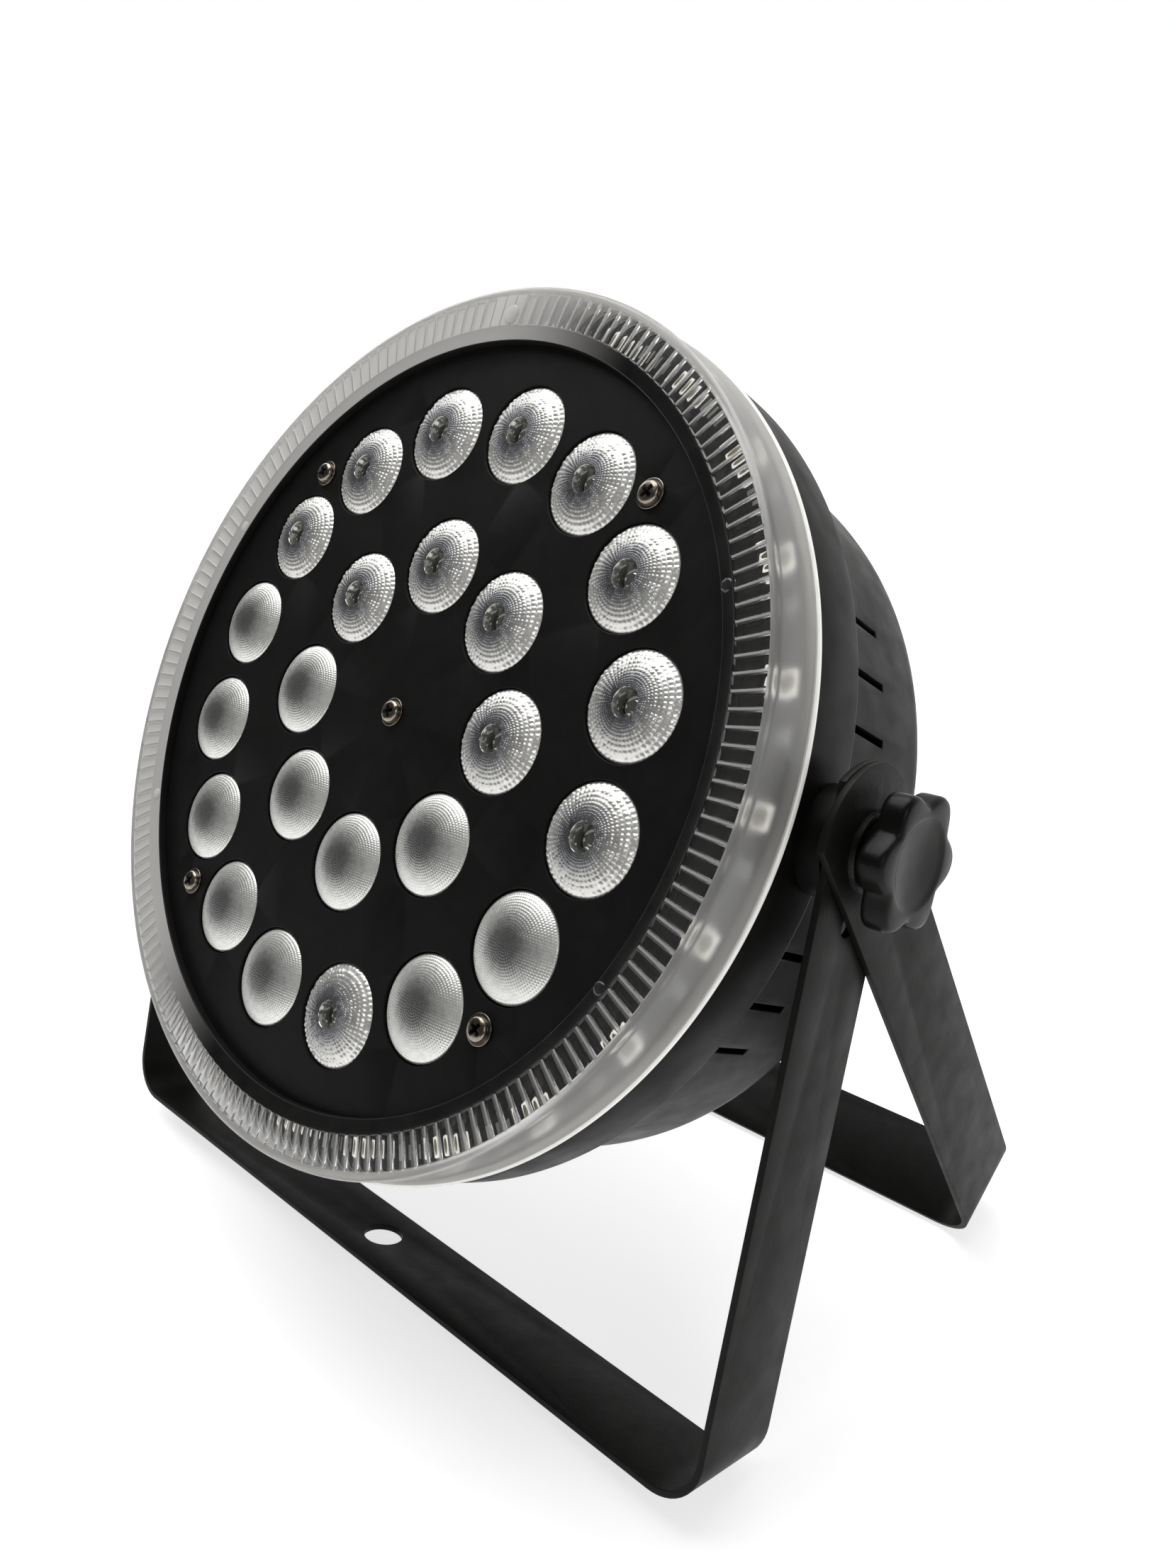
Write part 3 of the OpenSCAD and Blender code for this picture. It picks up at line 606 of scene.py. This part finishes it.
def bead_rings(bm, radii, counts, height, uneven=0.0):
    """Rings of small round beads on the dome, out from the middle. Returns the first and the last
    row of vertices."""
    draw = random.Random(11)
    rows = []
    for low, high, count in zip(radii, radii[1:], counts):
        sizes = [1 + draw.uniform(-uneven, uneven) for k in range(count)]
        for quarter, lift in enumerate(BEAD):
            radius = low + quarter * (high - low) / 4
            swell = height * (high - low) * lift
            steps = (4 if quarter else 2) * count
            rows.append(ring_row(bm, radius, [
                dome(radius) + swell * BEAD[k % 4] * sizes[k // 4 % count] for k in range(steps)]))
            if len(rows) > 1:
                zip_rows(bm, *rows[-2:])
    return rows[0], rows[-1]


def add_back(bm, row, dome_mat):
    """Gives the dome its material, and adds all of the lens below it."""
    edge = ring_row(bm, LENS_R - 0.06, [dome(LENS_R) - 0.02] * EDGE_STEPS)
    zip_rows(bm, row, edge)
    for face in bm.faces:
        face.material_index = dome_mat
    for radius, z in BACK_PROFILE:
        row, edge = edge, ring_row(bm, radius, [z] * EDGE_STEPS)
        zip_rows(bm, row, edge)
    close_row(bm, edge, BACK_TIP)


def beaded_lens():
    """A lens whose whole dome is covered with fine beads in rings."""
    bm = bmesh.new()
    pitch, inner, outer = 0.62, 0.3, LENS_R - 0.35
    rings = int(outer / pitch)
    radii = [inner + (outer - inner) * k / rings for k in range(rings + 1)]
    counts = [max(5, round(math.pi * (a + b) / pitch)) for a, b in zip(radii, radii[1:])]
    first, last = bead_rings(bm, radii, counts, 0.15)
    close_row(bm, first, dome(0) + 0.06)
    add_back(bm, last, LENS_FINISHES.index(BEADS))
    return bm


def open_lens():
    """A lens with a smooth well in its middle and rings of facets that grow towards the rim."""
    bm = bmesh.new()
    around, growth = 54, 1.125
    radii = [WELL_R]
    while radii[-1] < LENS_R - 1.1:
        radii.append(radii[-1] * growth)
    radii.append(LENS_R - 0.3)
    row, last = bead_rings(bm, radii, [around] * (len(radii) - 1), 0.19, 0.6)
    add_back(bm, last, LENS_FINISHES.index(FACETS))
    before = set(bm.faces)
    well = [(3.05, dome(WELL_R) - 0.25), (2.85, -0.9), (2.75, -1.3)]
    turns = [math.radians(15 * k) for k in range(1, 6)]
    bulge = [(2.65 * math.cos(t), -1.4 + 1.7 * math.sin(t)) for t in turns]
    for radius, z in well + bulge:
        inner = ring_row(bm, radius, [z] * WELL_STEPS)
        zip_rows(bm, inner, row)
        row = inner
    close_row(bm, row, 0.3)
    for face in bm.faces:
        if face not in before:
            face.material_index = LENS_FINISHES.index(WELL)
    return bm


def lens_mesh(name, bm):
    bmesh.ops.recalc_face_normals(bm, faces=bm.faces[:])
    mesh = bpy.data.meshes.new(name)
    bm.to_mesh(mesh)
    bm.free()
    mesh.transform(HEAD.to_3x3().to_4x4())
    for material in LENS_FINISHES:
        mesh.materials.append(material)
    shade(mesh, LENS_SHARP)
    return mesh


def place_lenses():
    shapes = {True: lens_mesh("lens_open", open_lens()),
              False: lens_mesh("lens_beaded", beaded_lens())}
    for node, radius, count, start, opened in LENS_CIRCLES:
        for k in range(count):
            angle = math.radians(start) + TAU * k / count
            obj = bpy.data.objects.new(f"{node[:5]}_lens_{k + 1:02d}", shapes[k in opened])
            bpy.context.scene.collection.objects.link(obj)
            obj.location = HEAD @ polar(radius, angle, 0)
            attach(obj, "head")
            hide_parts(node)


place_lenses()

# ---------------------------------------------------------------- halo ring

RIBS = 180
# heights of the ribs' tops, of the window between them and of its underside
RIB_Z, WINDOW_Z, UNDER_Z = 2.95, 2.6, 1.1
# one side of a rib: share of the pitch, and how much of the rib's height is reached there
RIB_SIDE = [(0.07, 1.0), (0.095, 0.85), (0.11, 0.5), (0.125, 0.12), (0.145, 0.0)]
# where the mould's gate left a round mark, and half the angle of the plain patch round it
GATE_TURN = TAU / 4
GATE_PAD = math.radians(3.6)
HALO_LEDS, LED_R, BOARD_TOP = 24, 96.6, -10.1


def halo_ring():
    """The clear ring: an inner flange on its foot, the window with its radial ribs, a band, the
    side wall, its rim and the inside."""
    across = [(0.0, 1.0)] + RIB_SIDE + [(0.5, 0.0)]
    across += [(1 - share, lift) for share, lift in RIB_SIDE[::-1]]
    foot = [(91.7, 0.15), (90.8, 0.15), (90.8, 1.6), (90.86, 1.95)]
    flange = [(91.0, 2.15), (91.3, 2.25), (93.6, 2.62), (93.9, 2.8), (94.15, RIB_Z)]
    window = [(94.3, RIB_Z - 0.12), (94.5, WINDOW_Z), (98.0, WINDOW_Z), (101.4, WINDOW_Z),
              (101.55, RIB_Z - 0.12)]
    band = [(101.65, RIB_Z), (102.0, 3.06), (102.6, 3.1)]
    wall = [(103.1, 3.0), (103.45, 2.65), (103.6, 2.1), (103.6, -2.4), (103.7, -5.0),
            (103.85, -6.4), (104.15, -7.5), (104.3, -8.6)]
    rim = [(104.5, -9.3), (104.8, -9.45), (104.9, -9.75), (104.9, -10.25), (104.8, -10.4)]
    inside = [(102.6, -10.4), (102.5, -10.3), (102.2, 0.3), (101.95, 0.75), (101.6, UNDER_Z),
              (94.3, UNDER_Z)]
    profile, finish = [], []
    for mat, points in [(BLACK_PLATE, foot), (FLANGE, flange), (CLEAR, window), (BAND, band),
                        (FROSTED, wall), (RIM_PAINTED_HIGHLIGHT, rim), (CLEAR, inside)]:
        profile += points
        finish += [RING_FINISHES.index(mat)] * len(points)
    lifted = range(len(foot + flange), len(foot + flange + window))
    bm = bmesh.new()
    columns = []
    for k in range(RIBS):
        turn = TAU * k / RIBS
        solid = gap(turn, GATE_TURN, TAU) < GATE_PAD
        for share, lift in across:
            column = []
            for i, (r, z) in enumerate(profile):
                height = z + (RIB_Z - z) * (1.0 if solid else lift) if i in lifted else z
                column.append(bm.verts.new(polar(r, turn + TAU * share / RIBS, height)))
            columns.append(column)
    for k, (a, b) in enumerate(zip(columns, columns[1:] + columns[:1])):
        on_rib = across[k % len(across)][1] * across[(k + 1) % len(across)][1] > 0.9
        for i in range(len(profile)):
            j = (i + 1) % len(profile)
            face = bm.faces.new((a[i], b[i], b[j], a[j]))
            face.material_index = RING_FINISHES.index(RIB) if on_rib and i in lifted else finish[i]
    return bm


def ring_nubs():
    """The four small clip nubs on the flange and the round mark of the mould's gate at the top."""
    bm = bmesh.new()
    spots = [(92.5, math.radians(a), 1.5, 1.2, 2.75) for a in (-25, 25, 155, 205)]
    spots.append((96.9, GATE_TURN, 2.2, 2.6, 3.55))
    for radius, turn, size, low, high in spots:
        start = len(bm.verts)
        side = [(0, low), (size - 0.25, low), (size, low + 0.15), (size, high - 0.45),
                (size - 0.2, high - 0.15), (size - 0.6, high), (0, high - 0.05)]
        lathe(bm, side, 32, closed=False)
        move_from(bm, start, Matrix.Translation(polar(radius, turn, 0)))
    return bm


make_piece("halo_ring_nubs", ring_nubs(), HEAD, [CLEAR], "head")
make_piece("halo_ring_ribbed", halo_ring(), HEAD, RING_FINISHES, "head",
           ["halo_ring"])


def halo_leds():
    """The small square LEDs on the ring's board with their terminals, and a smaller white part
    between each two."""
    bm = bmesh.new()
    for k in range(HALO_LEDS):
        turn = TAU * k / HALO_LEDS
        block(bm, (5.0, 5.0, 1.35), (LED_R, 0, BOARD_TOP), turn, 0.12, 0)
        for y in (-1.6, 0.0, 1.6):
            for x in (-2.8, 2.8):
                block(bm, (0.9, 0.9, 0.25), (LED_R + x, y, BOARD_TOP), turn, 0.05, 1)
        block(bm, (3.8, 3.4, 0.9), (97.0, 0, BOARD_TOP), turn + 0.6 * TAU / HALO_LEDS, 0.1, 2)
    return bm


def led_windows():
    """The round window in each of the halo's LEDs."""
    bm = bmesh.new()
    window = [(0, -8.68), (1.9, -8.68), (2.0, -8.74), (2.0, -8.9), (0, -8.9)]
    for k in range(HALO_LEDS):
        start = len(bm.verts)
        lathe(bm, window, 24, closed=False)
        turn = Matrix.Rotation(TAU * k / HALO_LEDS, 4, "Z")
        move_from(bm, start, turn @ Matrix.Translation((LED_R, 0, 0)))
    return bm


def board_trim():
    """Chip resistors and solder pads between the halo's LEDs."""
    bm = bmesh.new()
    draw = random.Random(7)
    for k in range(HALO_LEDS):
        for share in (0.3, 0.42, 0.74):
            turn = TAU * (k + share) / HALO_LEDS
            radius = 95.2 + 3.6 * draw.random()
            for end in (-0.75, 0.75):
                block(bm, (0.9, 0.45, 0.5), (radius, end, BOARD_TOP), turn, 0.05, 1)
            block(bm, (0.85, 1.1, 0.48), (radius, 0, BOARD_TOP), turn, 0.05, 0)
        for share in (0.2, 0.8):
            turn = TAU * (k + share) / HALO_LEDS
            block(bm, (2.6, 1.2, 0.06), (97.2, 0, BOARD_TOP), turn, 0.02, 1)
    return bm


make_piece("halo_led_packages", halo_leds(), HEAD, [LED_WHITE, NICKEL, WHITE_BOARD], "head",
           ["halo_leds"])
make_piece("halo_led_windows", led_windows(), HEAD, [LED_LENS], "head")
make_piece("halo_board_parts", board_trim(), HEAD, [COMPONENT, NICKEL], "head")

# ---------------------------------------------------------------- bezel and rear housing

BEZEL_PROFILE = [(91.0, -1.6), (92.3, -1.6), (92.3, -11.8), (102.8, -11.8), (102.8, -10.6),
                 (104.4, -10.6), (104.4, -26.5), (98.2, -26.5), (98.2, -25.0), (102.8, -25.0),
                 (102.8, -13.4), (91.0, -13.4)]
HOUSING_R, HOUSING_BACK, CORNER_R, WALL = 98.0, -78.0, 8.0, 1.5
SLOT_LOW, SLOT_HIGH, SLOT_HALF = -53.0, -38.0, 0.9
# angles of the vent slots to both sides of the pivot axis, in degrees
SLOT_TURNS = (14.5, 22.0, 29.5)


def front_bezel():
    bm = bmesh.new()
    lathe(bm, rounded(BEZEL_PROFILE, 0.45), 240)
    return bm


make_piece("front_bezel_detail", front_bezel(), HEAD, [BEZEL], "head",
           ["front_bezel"])


def rear_housing():
    """The rear housing's outer skin, with the vent slots left open."""
    bm = bmesh.new()
    half = math.degrees(math.asin(SLOT_HALF / HOUSING_R))
    slots = [side + sign * turn for side in (0, 180) for turn in SLOT_TURNS for sign in (-1, 1)]
    edges = sorted((slot + sign * half) % 360 for slot in slots for sign in (-1, 1))
    plain = [2.0 * k for k in range(180) if min(gap(2.0 * k, e, 360) for e in edges) > 0.6]
    angles = sorted(edges + plain)
    bend_r, bend_z = HOUSING_R - 1 - CORNER_R, HOUSING_BACK + CORNER_R
    arc = [(bend_r + CORNER_R * math.cos(t), bend_z - CORNER_R * math.sin(t))
           for t in [math.radians(15 * k) for k in range(7)]]
    line = [(HOUSING_R, -13.6), (HOUSING_R - 0.3, SLOT_HIGH),
            (HOUSING_R - 0.5, (SLOT_LOW + SLOT_HIGH) / 2), (HOUSING_R - 0.7, SLOT_LOW)]
    slot_stretches = (1, 2)
    line += arc + [(80, HOUSING_BACK), (70, HOUSING_BACK)]
    columns = [[bm.verts.new(polar(r, math.radians(a), z)) for r, z in line] for a in angles]
    for k, (a, b) in enumerate(zip(columns, columns[1:] + columns[:1])):
        middle = angles[k] + ((angles[(k + 1) % len(angles)] - angles[k]) % 360) / 2
        in_slot = any(gap(middle, slot, 360) < half for slot in slots)
        for i in range(len(line) - 1):
            if not (in_slot and i in slot_stretches):
                bm.faces.new((a[i], a[i + 1], b[i + 1], b[i]))
    return bm


def thickened(obj, thickness, edge):
    """Gives a skin its wall, inwards, and rounds the rims, and applies both."""
    solid = obj.modifiers.new("wall", "SOLIDIFY")
    solid.thickness = thickness * MM
    solid.offset = -1
    bevel = obj.modifiers.new("edge", "BEVEL")
    bevel.width = edge * MM
    bevel.segments = 2
    bevel.limit_method = "ANGLE"
    bevel.angle_limit = math.radians(50)
    graph = bpy.context.evaluated_depsgraph_get()
    mesh = bpy.data.meshes.new_from_object(obj.evaluated_get(graph))
    obj.modifiers.clear()
    obj.data = mesh
    shade(mesh)


housing = make_piece("rear_housing_detail", rear_housing(), HEAD, [BEZEL], "head",
                     ["rear_housing"])
thickened(housing, WALL, 0.2)

# ---------------------------------------------------------------- knobs

KNOB_RIM, KNOB_FACE, KNOB_BASE = 118.1, 123.6, 114.85
LOBES, KNOB_R, VALLEY_R, KNOB_TURN, KNOB_STEPS = 6, 14.0, 11.1, 12.0, 144
DISH_R, DISH_EDGE, DISH_DEPTH, DISH_RINGS = 8.5, 0.28, 1.2, 7
KNOB_SHARP = 60


def lobed(inset):
    """The knob's outline, `inset` inside its full size: round lobes with hollows between them."""
    swing = KNOB_R - VALLEY_R
    return outline(lambda a: VALLEY_R + swing * (0.5 + 0.5 * math.cos(LOBES * a)) ** 0.8 - inset,
                   KNOB_STEPS)


def star_knob():
    """A lobed hand knob with a boss behind it and a shallow dish in its face."""
    bm = bmesh.new()
    layers = [(circle(3.1), KNOB_BASE), (circle(6.6), KNOB_BASE), (circle(7.0), KNOB_BASE + 0.4),
              (circle(7.0), KNOB_RIM - 0.5), (circle(7.5), KNOB_RIM), (lobed(1.2), KNOB_RIM),
              (lobed(0.45), KNOB_RIM + 0.2), (lobed(0.1), KNOB_RIM + 0.65),
              (lobed(0), KNOB_RIM + 1.3), (lobed(0), KNOB_FACE - 1.5),
              (lobed(0.12), KNOB_FACE - 0.85), (lobed(0.5), KNOB_FACE - 0.3),
              (lobed(1.2), KNOB_FACE - 0.03), (circle(9.3), KNOB_FACE),
              (circle(8.9), KNOB_FACE - 0.06), (circle(DISH_R), KNOB_FACE - DISH_EDGE)]
    for k in range(1, DISH_RINGS):
        sink = DISH_EDGE + DISH_DEPTH * math.sin(TAU / 4 * k / DISH_RINGS)
        layers.append((circle(DISH_R - DISH_R * k / DISH_RINGS), KNOB_FACE - sink))
    stack(bm, layers)
    return bm


def pivot_axes(side):
    """The frame of one end of the pivot axis: z points out along it, x points down at the right
    end and up at the left."""
    out = SIDE * side
    down = Vector((0, 0, -side))
    return axes(down, out.cross(down), out, PIVOT)


for side, name in ((1, "right"), (-1, "left")):
    turn = Matrix.Rotation(math.radians(KNOB_TURN), 4, "Z")
    make_piece(f"{name}_knob_detail", star_knob(), pivot_axes(side) @ turn, [KNOB],
               f"{name}_knob", [f"{name}_knob"], KNOB_SHARP)

# ---------------------------------------------------------------- face plate, yokes and screws

SCREW_STEPS = 64
FACE_SCREW_R = 80.0
WASHER_PROFILE = [(1.6, 0.02), (3.4, 0.02), (3.4, 0.6), (1.6, 0.6)]

softened("front_plate", 0.22, 2, BLACK_PLATE)
for yoke in ("front_yoke", "rear_yoke"):
    softened(yoke, 0.3, 3, POWDER)


def cross(arm, half):
    """The outline of a cross recess."""
    def radius_at(a):
        off = gap(a, 0, TAU / 4)
        return min(arm / math.cos(off), half / max(math.sin(off), 1e-3))

    return outline(radius_at, SCREW_STEPS)


def pan_screw(seat, length):
    """A pan-head screw with its tapered cross recess. Its head stands on z = seat."""
    bm = bmesh.new()
    shank = [(1.4, -length - seat), (1.4, 0)]
    head = [(2.62, 0), (2.7, 0.1), (2.7, 0.42), (2.58, 0.78), (2.3, 1.05), (1.9, 1.2)]
    recess = [(1.72, 0.52, 1.25), (1.6, 0.42, 1.05), (1.25, 0.3, 0.3), (0.7, 0.25, -0.15)]
    layers = [(circle(r, SCREW_STEPS), seat + z) for r, z in shank + head]
    layers += [(cross(arm, half), seat + z) for arm, half, z in recess]
    # the recess's layers take the second finish, a painted shade
    stack(bm, layers, [0] * len(shank + head) + [1] * len(recess))
    return bm


def face_washer():
    bm = bmesh.new()
    lathe(bm, rounded(WASHER_PROFILE, 0.18), SCREW_STEPS)
    return bm


draw = random.Random(3)
spots = [Vector((0, 0, 0))] + [polar(FACE_SCREW_R, TAU / 8 + TAU * k / 4, 0) for k in range(4)]
for k, spot in enumerate(spots):
    turn = Matrix.Rotation(draw.uniform(0, TAU / 4), 4, "Z")
    place = HEAD @ Matrix.Translation(spot) @ turn
    make_piece(f"face_screw_{k + 1}", pan_screw(0.62, 11.4), place, [NICKEL, RECESS_SHADE], "head",
               ["face_screws"])
    make_piece(f"face_washer_{k + 1}", face_washer(), place, [NICKEL], "head",
               ["face_washers"])

# ---------------------------------------------------------------- the back

# each node that gets rounded edges: their width and the segments across them
BACK_EDGES = {
    "rear_panel": (0.2, 2), "power_inlet": (0.4, 3), "power_outlet": (0.4, 3),
    "dmx_input": (0.4, 3), "dmx_output": (0.35, 3), "dmx_latch": (0.25, 2),
    "fuse_holder": (0.3, 3), "safety_bracket": (0.3, 3), "safety_screw": (0.2, 2),
    "menu_button": (0.55, 4), "up_button": (0.55, 4), "down_button": (0.55, 4),
    "enter_button": (0.55, 4), "display_window": (0.12, 2), "left_pivot_boss": (0.5, 3),
    "right_pivot_boss": (0.5, 3), "left_friction_washer": (0.3, 2),
    "right_friction_washer": (0.3, 2),
}
# the height of the middle of the control sockets, and their screws' places from there
SOCKET_Y, SOCKET_SCREW_X, SOCKET_SCREW_Y = 4.0, 9.8, 12.2
SOCKET_FLANGE = 2.0
FUSE_Y = -52.0
DISPLAY_Y, FIGURE_DEPTH = 51.0, 0.3
FIGURES, FIGURE_PITCH = 4, 8.6
# half the side of a figure's square, a bar's width, the gap at a bar's end and the figures' lean
FIGURE_HALF, BAR_WIDTH, BAR_GAP, LEAN = 2.3, 0.95, 0.25, math.tan(math.radians(7))
FIGURE_HEIGHT = 0.03

for node, (width, segments) in BACK_EDGES.items():
    softened(node, width, segments, SLOT_FINISH[SLOT_OF[node]])


def middle_of(node):
    """The middle of a CAD node's box, in the head's frame."""
    low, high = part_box(node)
    return HEAD.inverted() @ ((Vector(low) + Vector(high)) / 2)


def solid_middles(node):
    """The middle of each separate solid of a CAD node, in the head's frame."""
    bm = bmesh.new()
    bm.from_mesh(NODES[node].data)
    bm.transform(HEAD.inverted())
    bmesh.ops.remove_doubles(bm, verts=bm.verts[:], dist=WELD / MM)
    left, middles = set(bm.verts), []
    for first in bm.verts:
        if first not in left:
            continue
        left.discard(first)
        solid, todo = [], [first]
        while todo:
            vert = todo.pop()
            solid.append(vert.co)
            for edge in vert.link_edges:
                other = edge.other_vert(vert)
                if other in left:
                    left.discard(other)
                    todo.append(other)
        lows, highs = ([f(c[i] for c in solid) for i in range(3)] for f in (min, max))
        middles.append(Vector([(a + b) / 2 for a, b in zip(lows, highs)]))
    bm.free()
    return middles


def facing_back(x, y, z, turn=0.0):
    """A place on the back whose z points away from the panel."""
    about = Matrix.Rotation(math.pi, 4, "Y") @ Matrix.Rotation(turn, 4, "Z")
    return HEAD @ Matrix.Translation((x, y, z)) @ about


for k, middle in enumerate(solid_middles("rear_panel_screws")):
    place = facing_back(middle.x, middle.y, PANEL_Z, draw.uniform(0, TAU / 4))
    make_piece(f"rear_panel_screw_{k + 1}", pan_screw(0.02, 4.0), place, [DARK_SCREW, RECESS_SHADE],
               "head", ["rear_panel_screws"])


def flange_screw():
    """A small countersunk screw, flush in a socket's flange."""
    bm = bmesh.new()
    head = [(1.2, -0.6), (2.0, 0.0), (1.95, 0.12), (1.6, 0.2)]
    layers = [(circle(r, SCREW_STEPS), z) for r, z in head]
    stack(bm, layers + [(cross(1.2, 0.32), 0.2), (cross(0.7, 0.2), -0.35)], [0] * 4 + [1] * 2)
    return bm


corners = [(node, sign) for node in ("dmx_input", "dmx_output") for sign in (1, -1)]
for k, (node, sign) in enumerate(corners):
    place = facing_back(middle_of(node).x + SOCKET_SCREW_X * sign, SOCKET_Y + SOCKET_SCREW_Y * sign,
                        PANEL_Z - SOCKET_FLANGE, draw.uniform(0, TAU / 4))
    make_piece(f"socket_screw_{k + 1}", flange_screw(), place, [DARK_SCREW, RECESS_SHADE], "head")


def bar_slot(half_length, half_width):
    """The outline of a straight slot."""
    return outline(lambda a: min(half_length / max(abs(math.cos(a)), 1e-3),
                                 half_width / max(abs(math.sin(a)), 1e-3)), 144)


def fluted(radius, depth=0.35, flutes=24):
    """A round outline with flutes."""
    return outline(lambda a: radius - depth * (0.5 - 0.5 * math.cos(flutes * a)) ** 2, 144)


def fuse_cap():
    """The fuse's cap, fluted round its edge, with a slot for a coin or a screwdriver."""
    bm = bmesh.new()
    stack(bm, [(circle(4.4), -14.0), (circle(4.4), 1.62), (fluted(6.6), 1.62), (fluted(7.0), 1.95),
               (fluted(7.0), 4.7), (fluted(6.7), 5.2), (circle(6.1), 5.45), (circle(5.0), 5.48),
               (bar_slot(4.5, 0.7), 5.48), (bar_slot(4.4, 0.62), 4.5)])
    return bm


fuse_low, fuse_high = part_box("fuse_cap")
fuse_at = HEAD.inverted() @ ((Vector(fuse_low) + Vector(fuse_high)) / 2)
make_piece("fuse_cap_detail", fuse_cap(), facing_back(fuse_at.x, FUSE_Y, PANEL_Z), [SOCKET],
           BODY_OF["fuse_cap"], ["fuse_cap"])


def figure_bar(bm, x, y, upright):
    """One bar of a seven-segment figure, with pointed ends."""
    tip, edge = FIGURE_HALF - BAR_GAP, BAR_WIDTH / 2
    upper = [(-tip, 0), (edge - tip, edge), (tip - edge, edge)]
    points = upper + [(-a, -b) for a, b in upper]
    if upright:
        points = [(b, -a) for a, b in points]
    points = [(x + a + (y + b) * LEAN, y + b) for a, b in points]
    stack(bm, [(points, 0), (points, FIGURE_HEIGHT)])


def display_figures():
    """Four unlit seven-segment figures and their points, just under the surface of the display's
    window."""
    bm = bmesh.new()
    for k in range(FIGURES):
        x = (k - 1.5) * FIGURE_PITCH
        for level in (-1, 0, 1):
            figure_bar(bm, x, 2 * FIGURE_HALF * level, False)
        for side in (-1, 1):
            for level in (-1, 1):
                figure_bar(bm, x + side * FIGURE_HALF, FIGURE_HALF * level, True)
        point = [(x + 3.9 + a, b - 2 * FIGURE_HALF) for a, b in circle(0.5, 16)]
        stack(bm, [(point, 0), (point, FIGURE_HEIGHT)])
    return bm


make_piece("display_figures", display_figures(), facing_back(0, DISPLAY_Y, PANEL_Z - FIGURE_DEPTH),
           [SEGMENT], "head")

# ---------------------------------------------------------------- stage, lights and camera

# the room's strength in front of the lamp and behind it
DIM, BRIGHT = 0.06, 0.8
FLOOR_HALF = 30.0
# how far from the origin the floor starts to brighten and where that ends, in metres, and how
# much it glows at both
FLOOR_NEAR, FLOOR_FAR, FLOOR_LOW, FLOOR_HIGH = 0.25, 2.2, 0.72, 1.1
FOCAL_MM, SENSOR_MM, ROLL = 27.2, 36, math.radians(-2.9)
EYE = PIVOT + Vector((0.2174, -0.179, 0.0909))
TARGET = PIVOT + Vector((0, 0.0415, -0.0244))


def studio():
    """A white studio that is dim in front of the lamp, so that the black face stays dark."""
    scene = bpy.context.scene
    scene.view_settings.view_transform = "Standard"
    world = bpy.data.worlds.new("studio")
    scene.world = world
    world.use_nodes = True
    nodes, links = world.node_tree.nodes, world.node_tree.links
    room = nodes["Background"]
    room.inputs["Color"].default_value = (1, 0.995, 0.985, 1)
    place = nodes.new("ShaderNodeTexCoord")
    ahead = nodes.new("ShaderNodeVectorMath")
    ahead.operation = "DOT_PRODUCT"
    ahead.inputs[1].default_value = Vector((0.1, -0.95, 0.3)).normalized()
    links.new(place.outputs["Generated"], ahead.inputs[0])
    strength = map_range(world.node_tree, ahead.outputs["Value"], 0.4, -0.85, DIM, BRIGHT,
                         "SMOOTHSTEP")
    links.new(strength, room.inputs["Strength"])
    white = nodes.new("ShaderNodeBackground")
    white.inputs["Color"].default_value = (1, 1, 1, 1)
    path = nodes.new("ShaderNodeLightPath")
    mix = nodes.new("ShaderNodeMixShader")
    links.new(path.outputs["Is Camera Ray"], mix.inputs[0])
    links.new(room.outputs[0], mix.inputs[1])
    links.new(white.outputs[0], mix.inputs[2])
    links.new(mix.outputs[0], nodes["World Output"].inputs["Surface"])


def look_at(obj, place, target):
    """Puts a lamp or camera at a place and turns it towards a target."""
    bpy.context.scene.collection.objects.link(obj)
    obj.location = place
    obj.rotation_mode = "QUATERNION"
    obj.rotation_quaternion = (Vector(target) - Vector(place)).to_track_quat("-Z", "Y")


def softbox(name, place, size, power):
    data = bpy.data.lights.new(name, "AREA")
    data.shape = "RECTANGLE"
    data.size, data.size_y = size
    data.energy = power
    look_at(bpy.data.objects.new(name, data), place, PIVOT)


def floor():
    """Pale paper that glows a little more with distance, so that no horizon shows."""
    mesh = bpy.data.meshes.new("floor")
    corners = [(x * FLOOR_HALF, y * FLOOR_HALF, 0) for x, y in ((-1, -1), (1, -1), (1, 1), (-1, 1))]
    mesh.from_pydata(corners, [], [(0, 1, 2, 3)])
    f = Finish("floor_paper", (0.55, 0.55, 0.55), 0.9, Specular_IOR_Level=0.1,
               Emission_Color=(1, 1, 1, 1))
    far = f.vector_math("LENGTH", f.place)
    glow = f.smooth(far, FLOOR_NEAR, FLOOR_FAR, FLOOR_LOW, FLOOR_HIGH)
    f.links.new(glow, f.shader.inputs["Emission Strength"])
    mesh.materials.append(f.vary_roughness(8, 0.03).material)
    obj = bpy.data.objects.new("floor", mesh)
    bpy.context.scene.collection.objects.link(obj)
    obj.location.z = cad_low.z - 0.0002


def camera():
    data = bpy.data.cameras.new("camera")
    data.lens = FOCAL_MM
    data.sensor_width = SENSOR_MM
    data.clip_start = 0.01
    obj = bpy.data.objects.new("camera", data)
    look_at(obj, EYE, TARGET)
    obj.rotation_quaternion = obj.rotation_quaternion @ Quaternion((0, 0, 1), ROLL)
    bpy.context.scene.camera = obj


studio()
floor()
softbox("top_light", (-0.2, 0.1, 1.2), (1.2, 0.9), 14)
softbox("right_light", (1.2, -0.5, 0.9), (0.6, 0.6), 2.5)
softbox("left_light", (-1.2, 0.3, 0.8), (0.6, 0.9), 6)
camera()
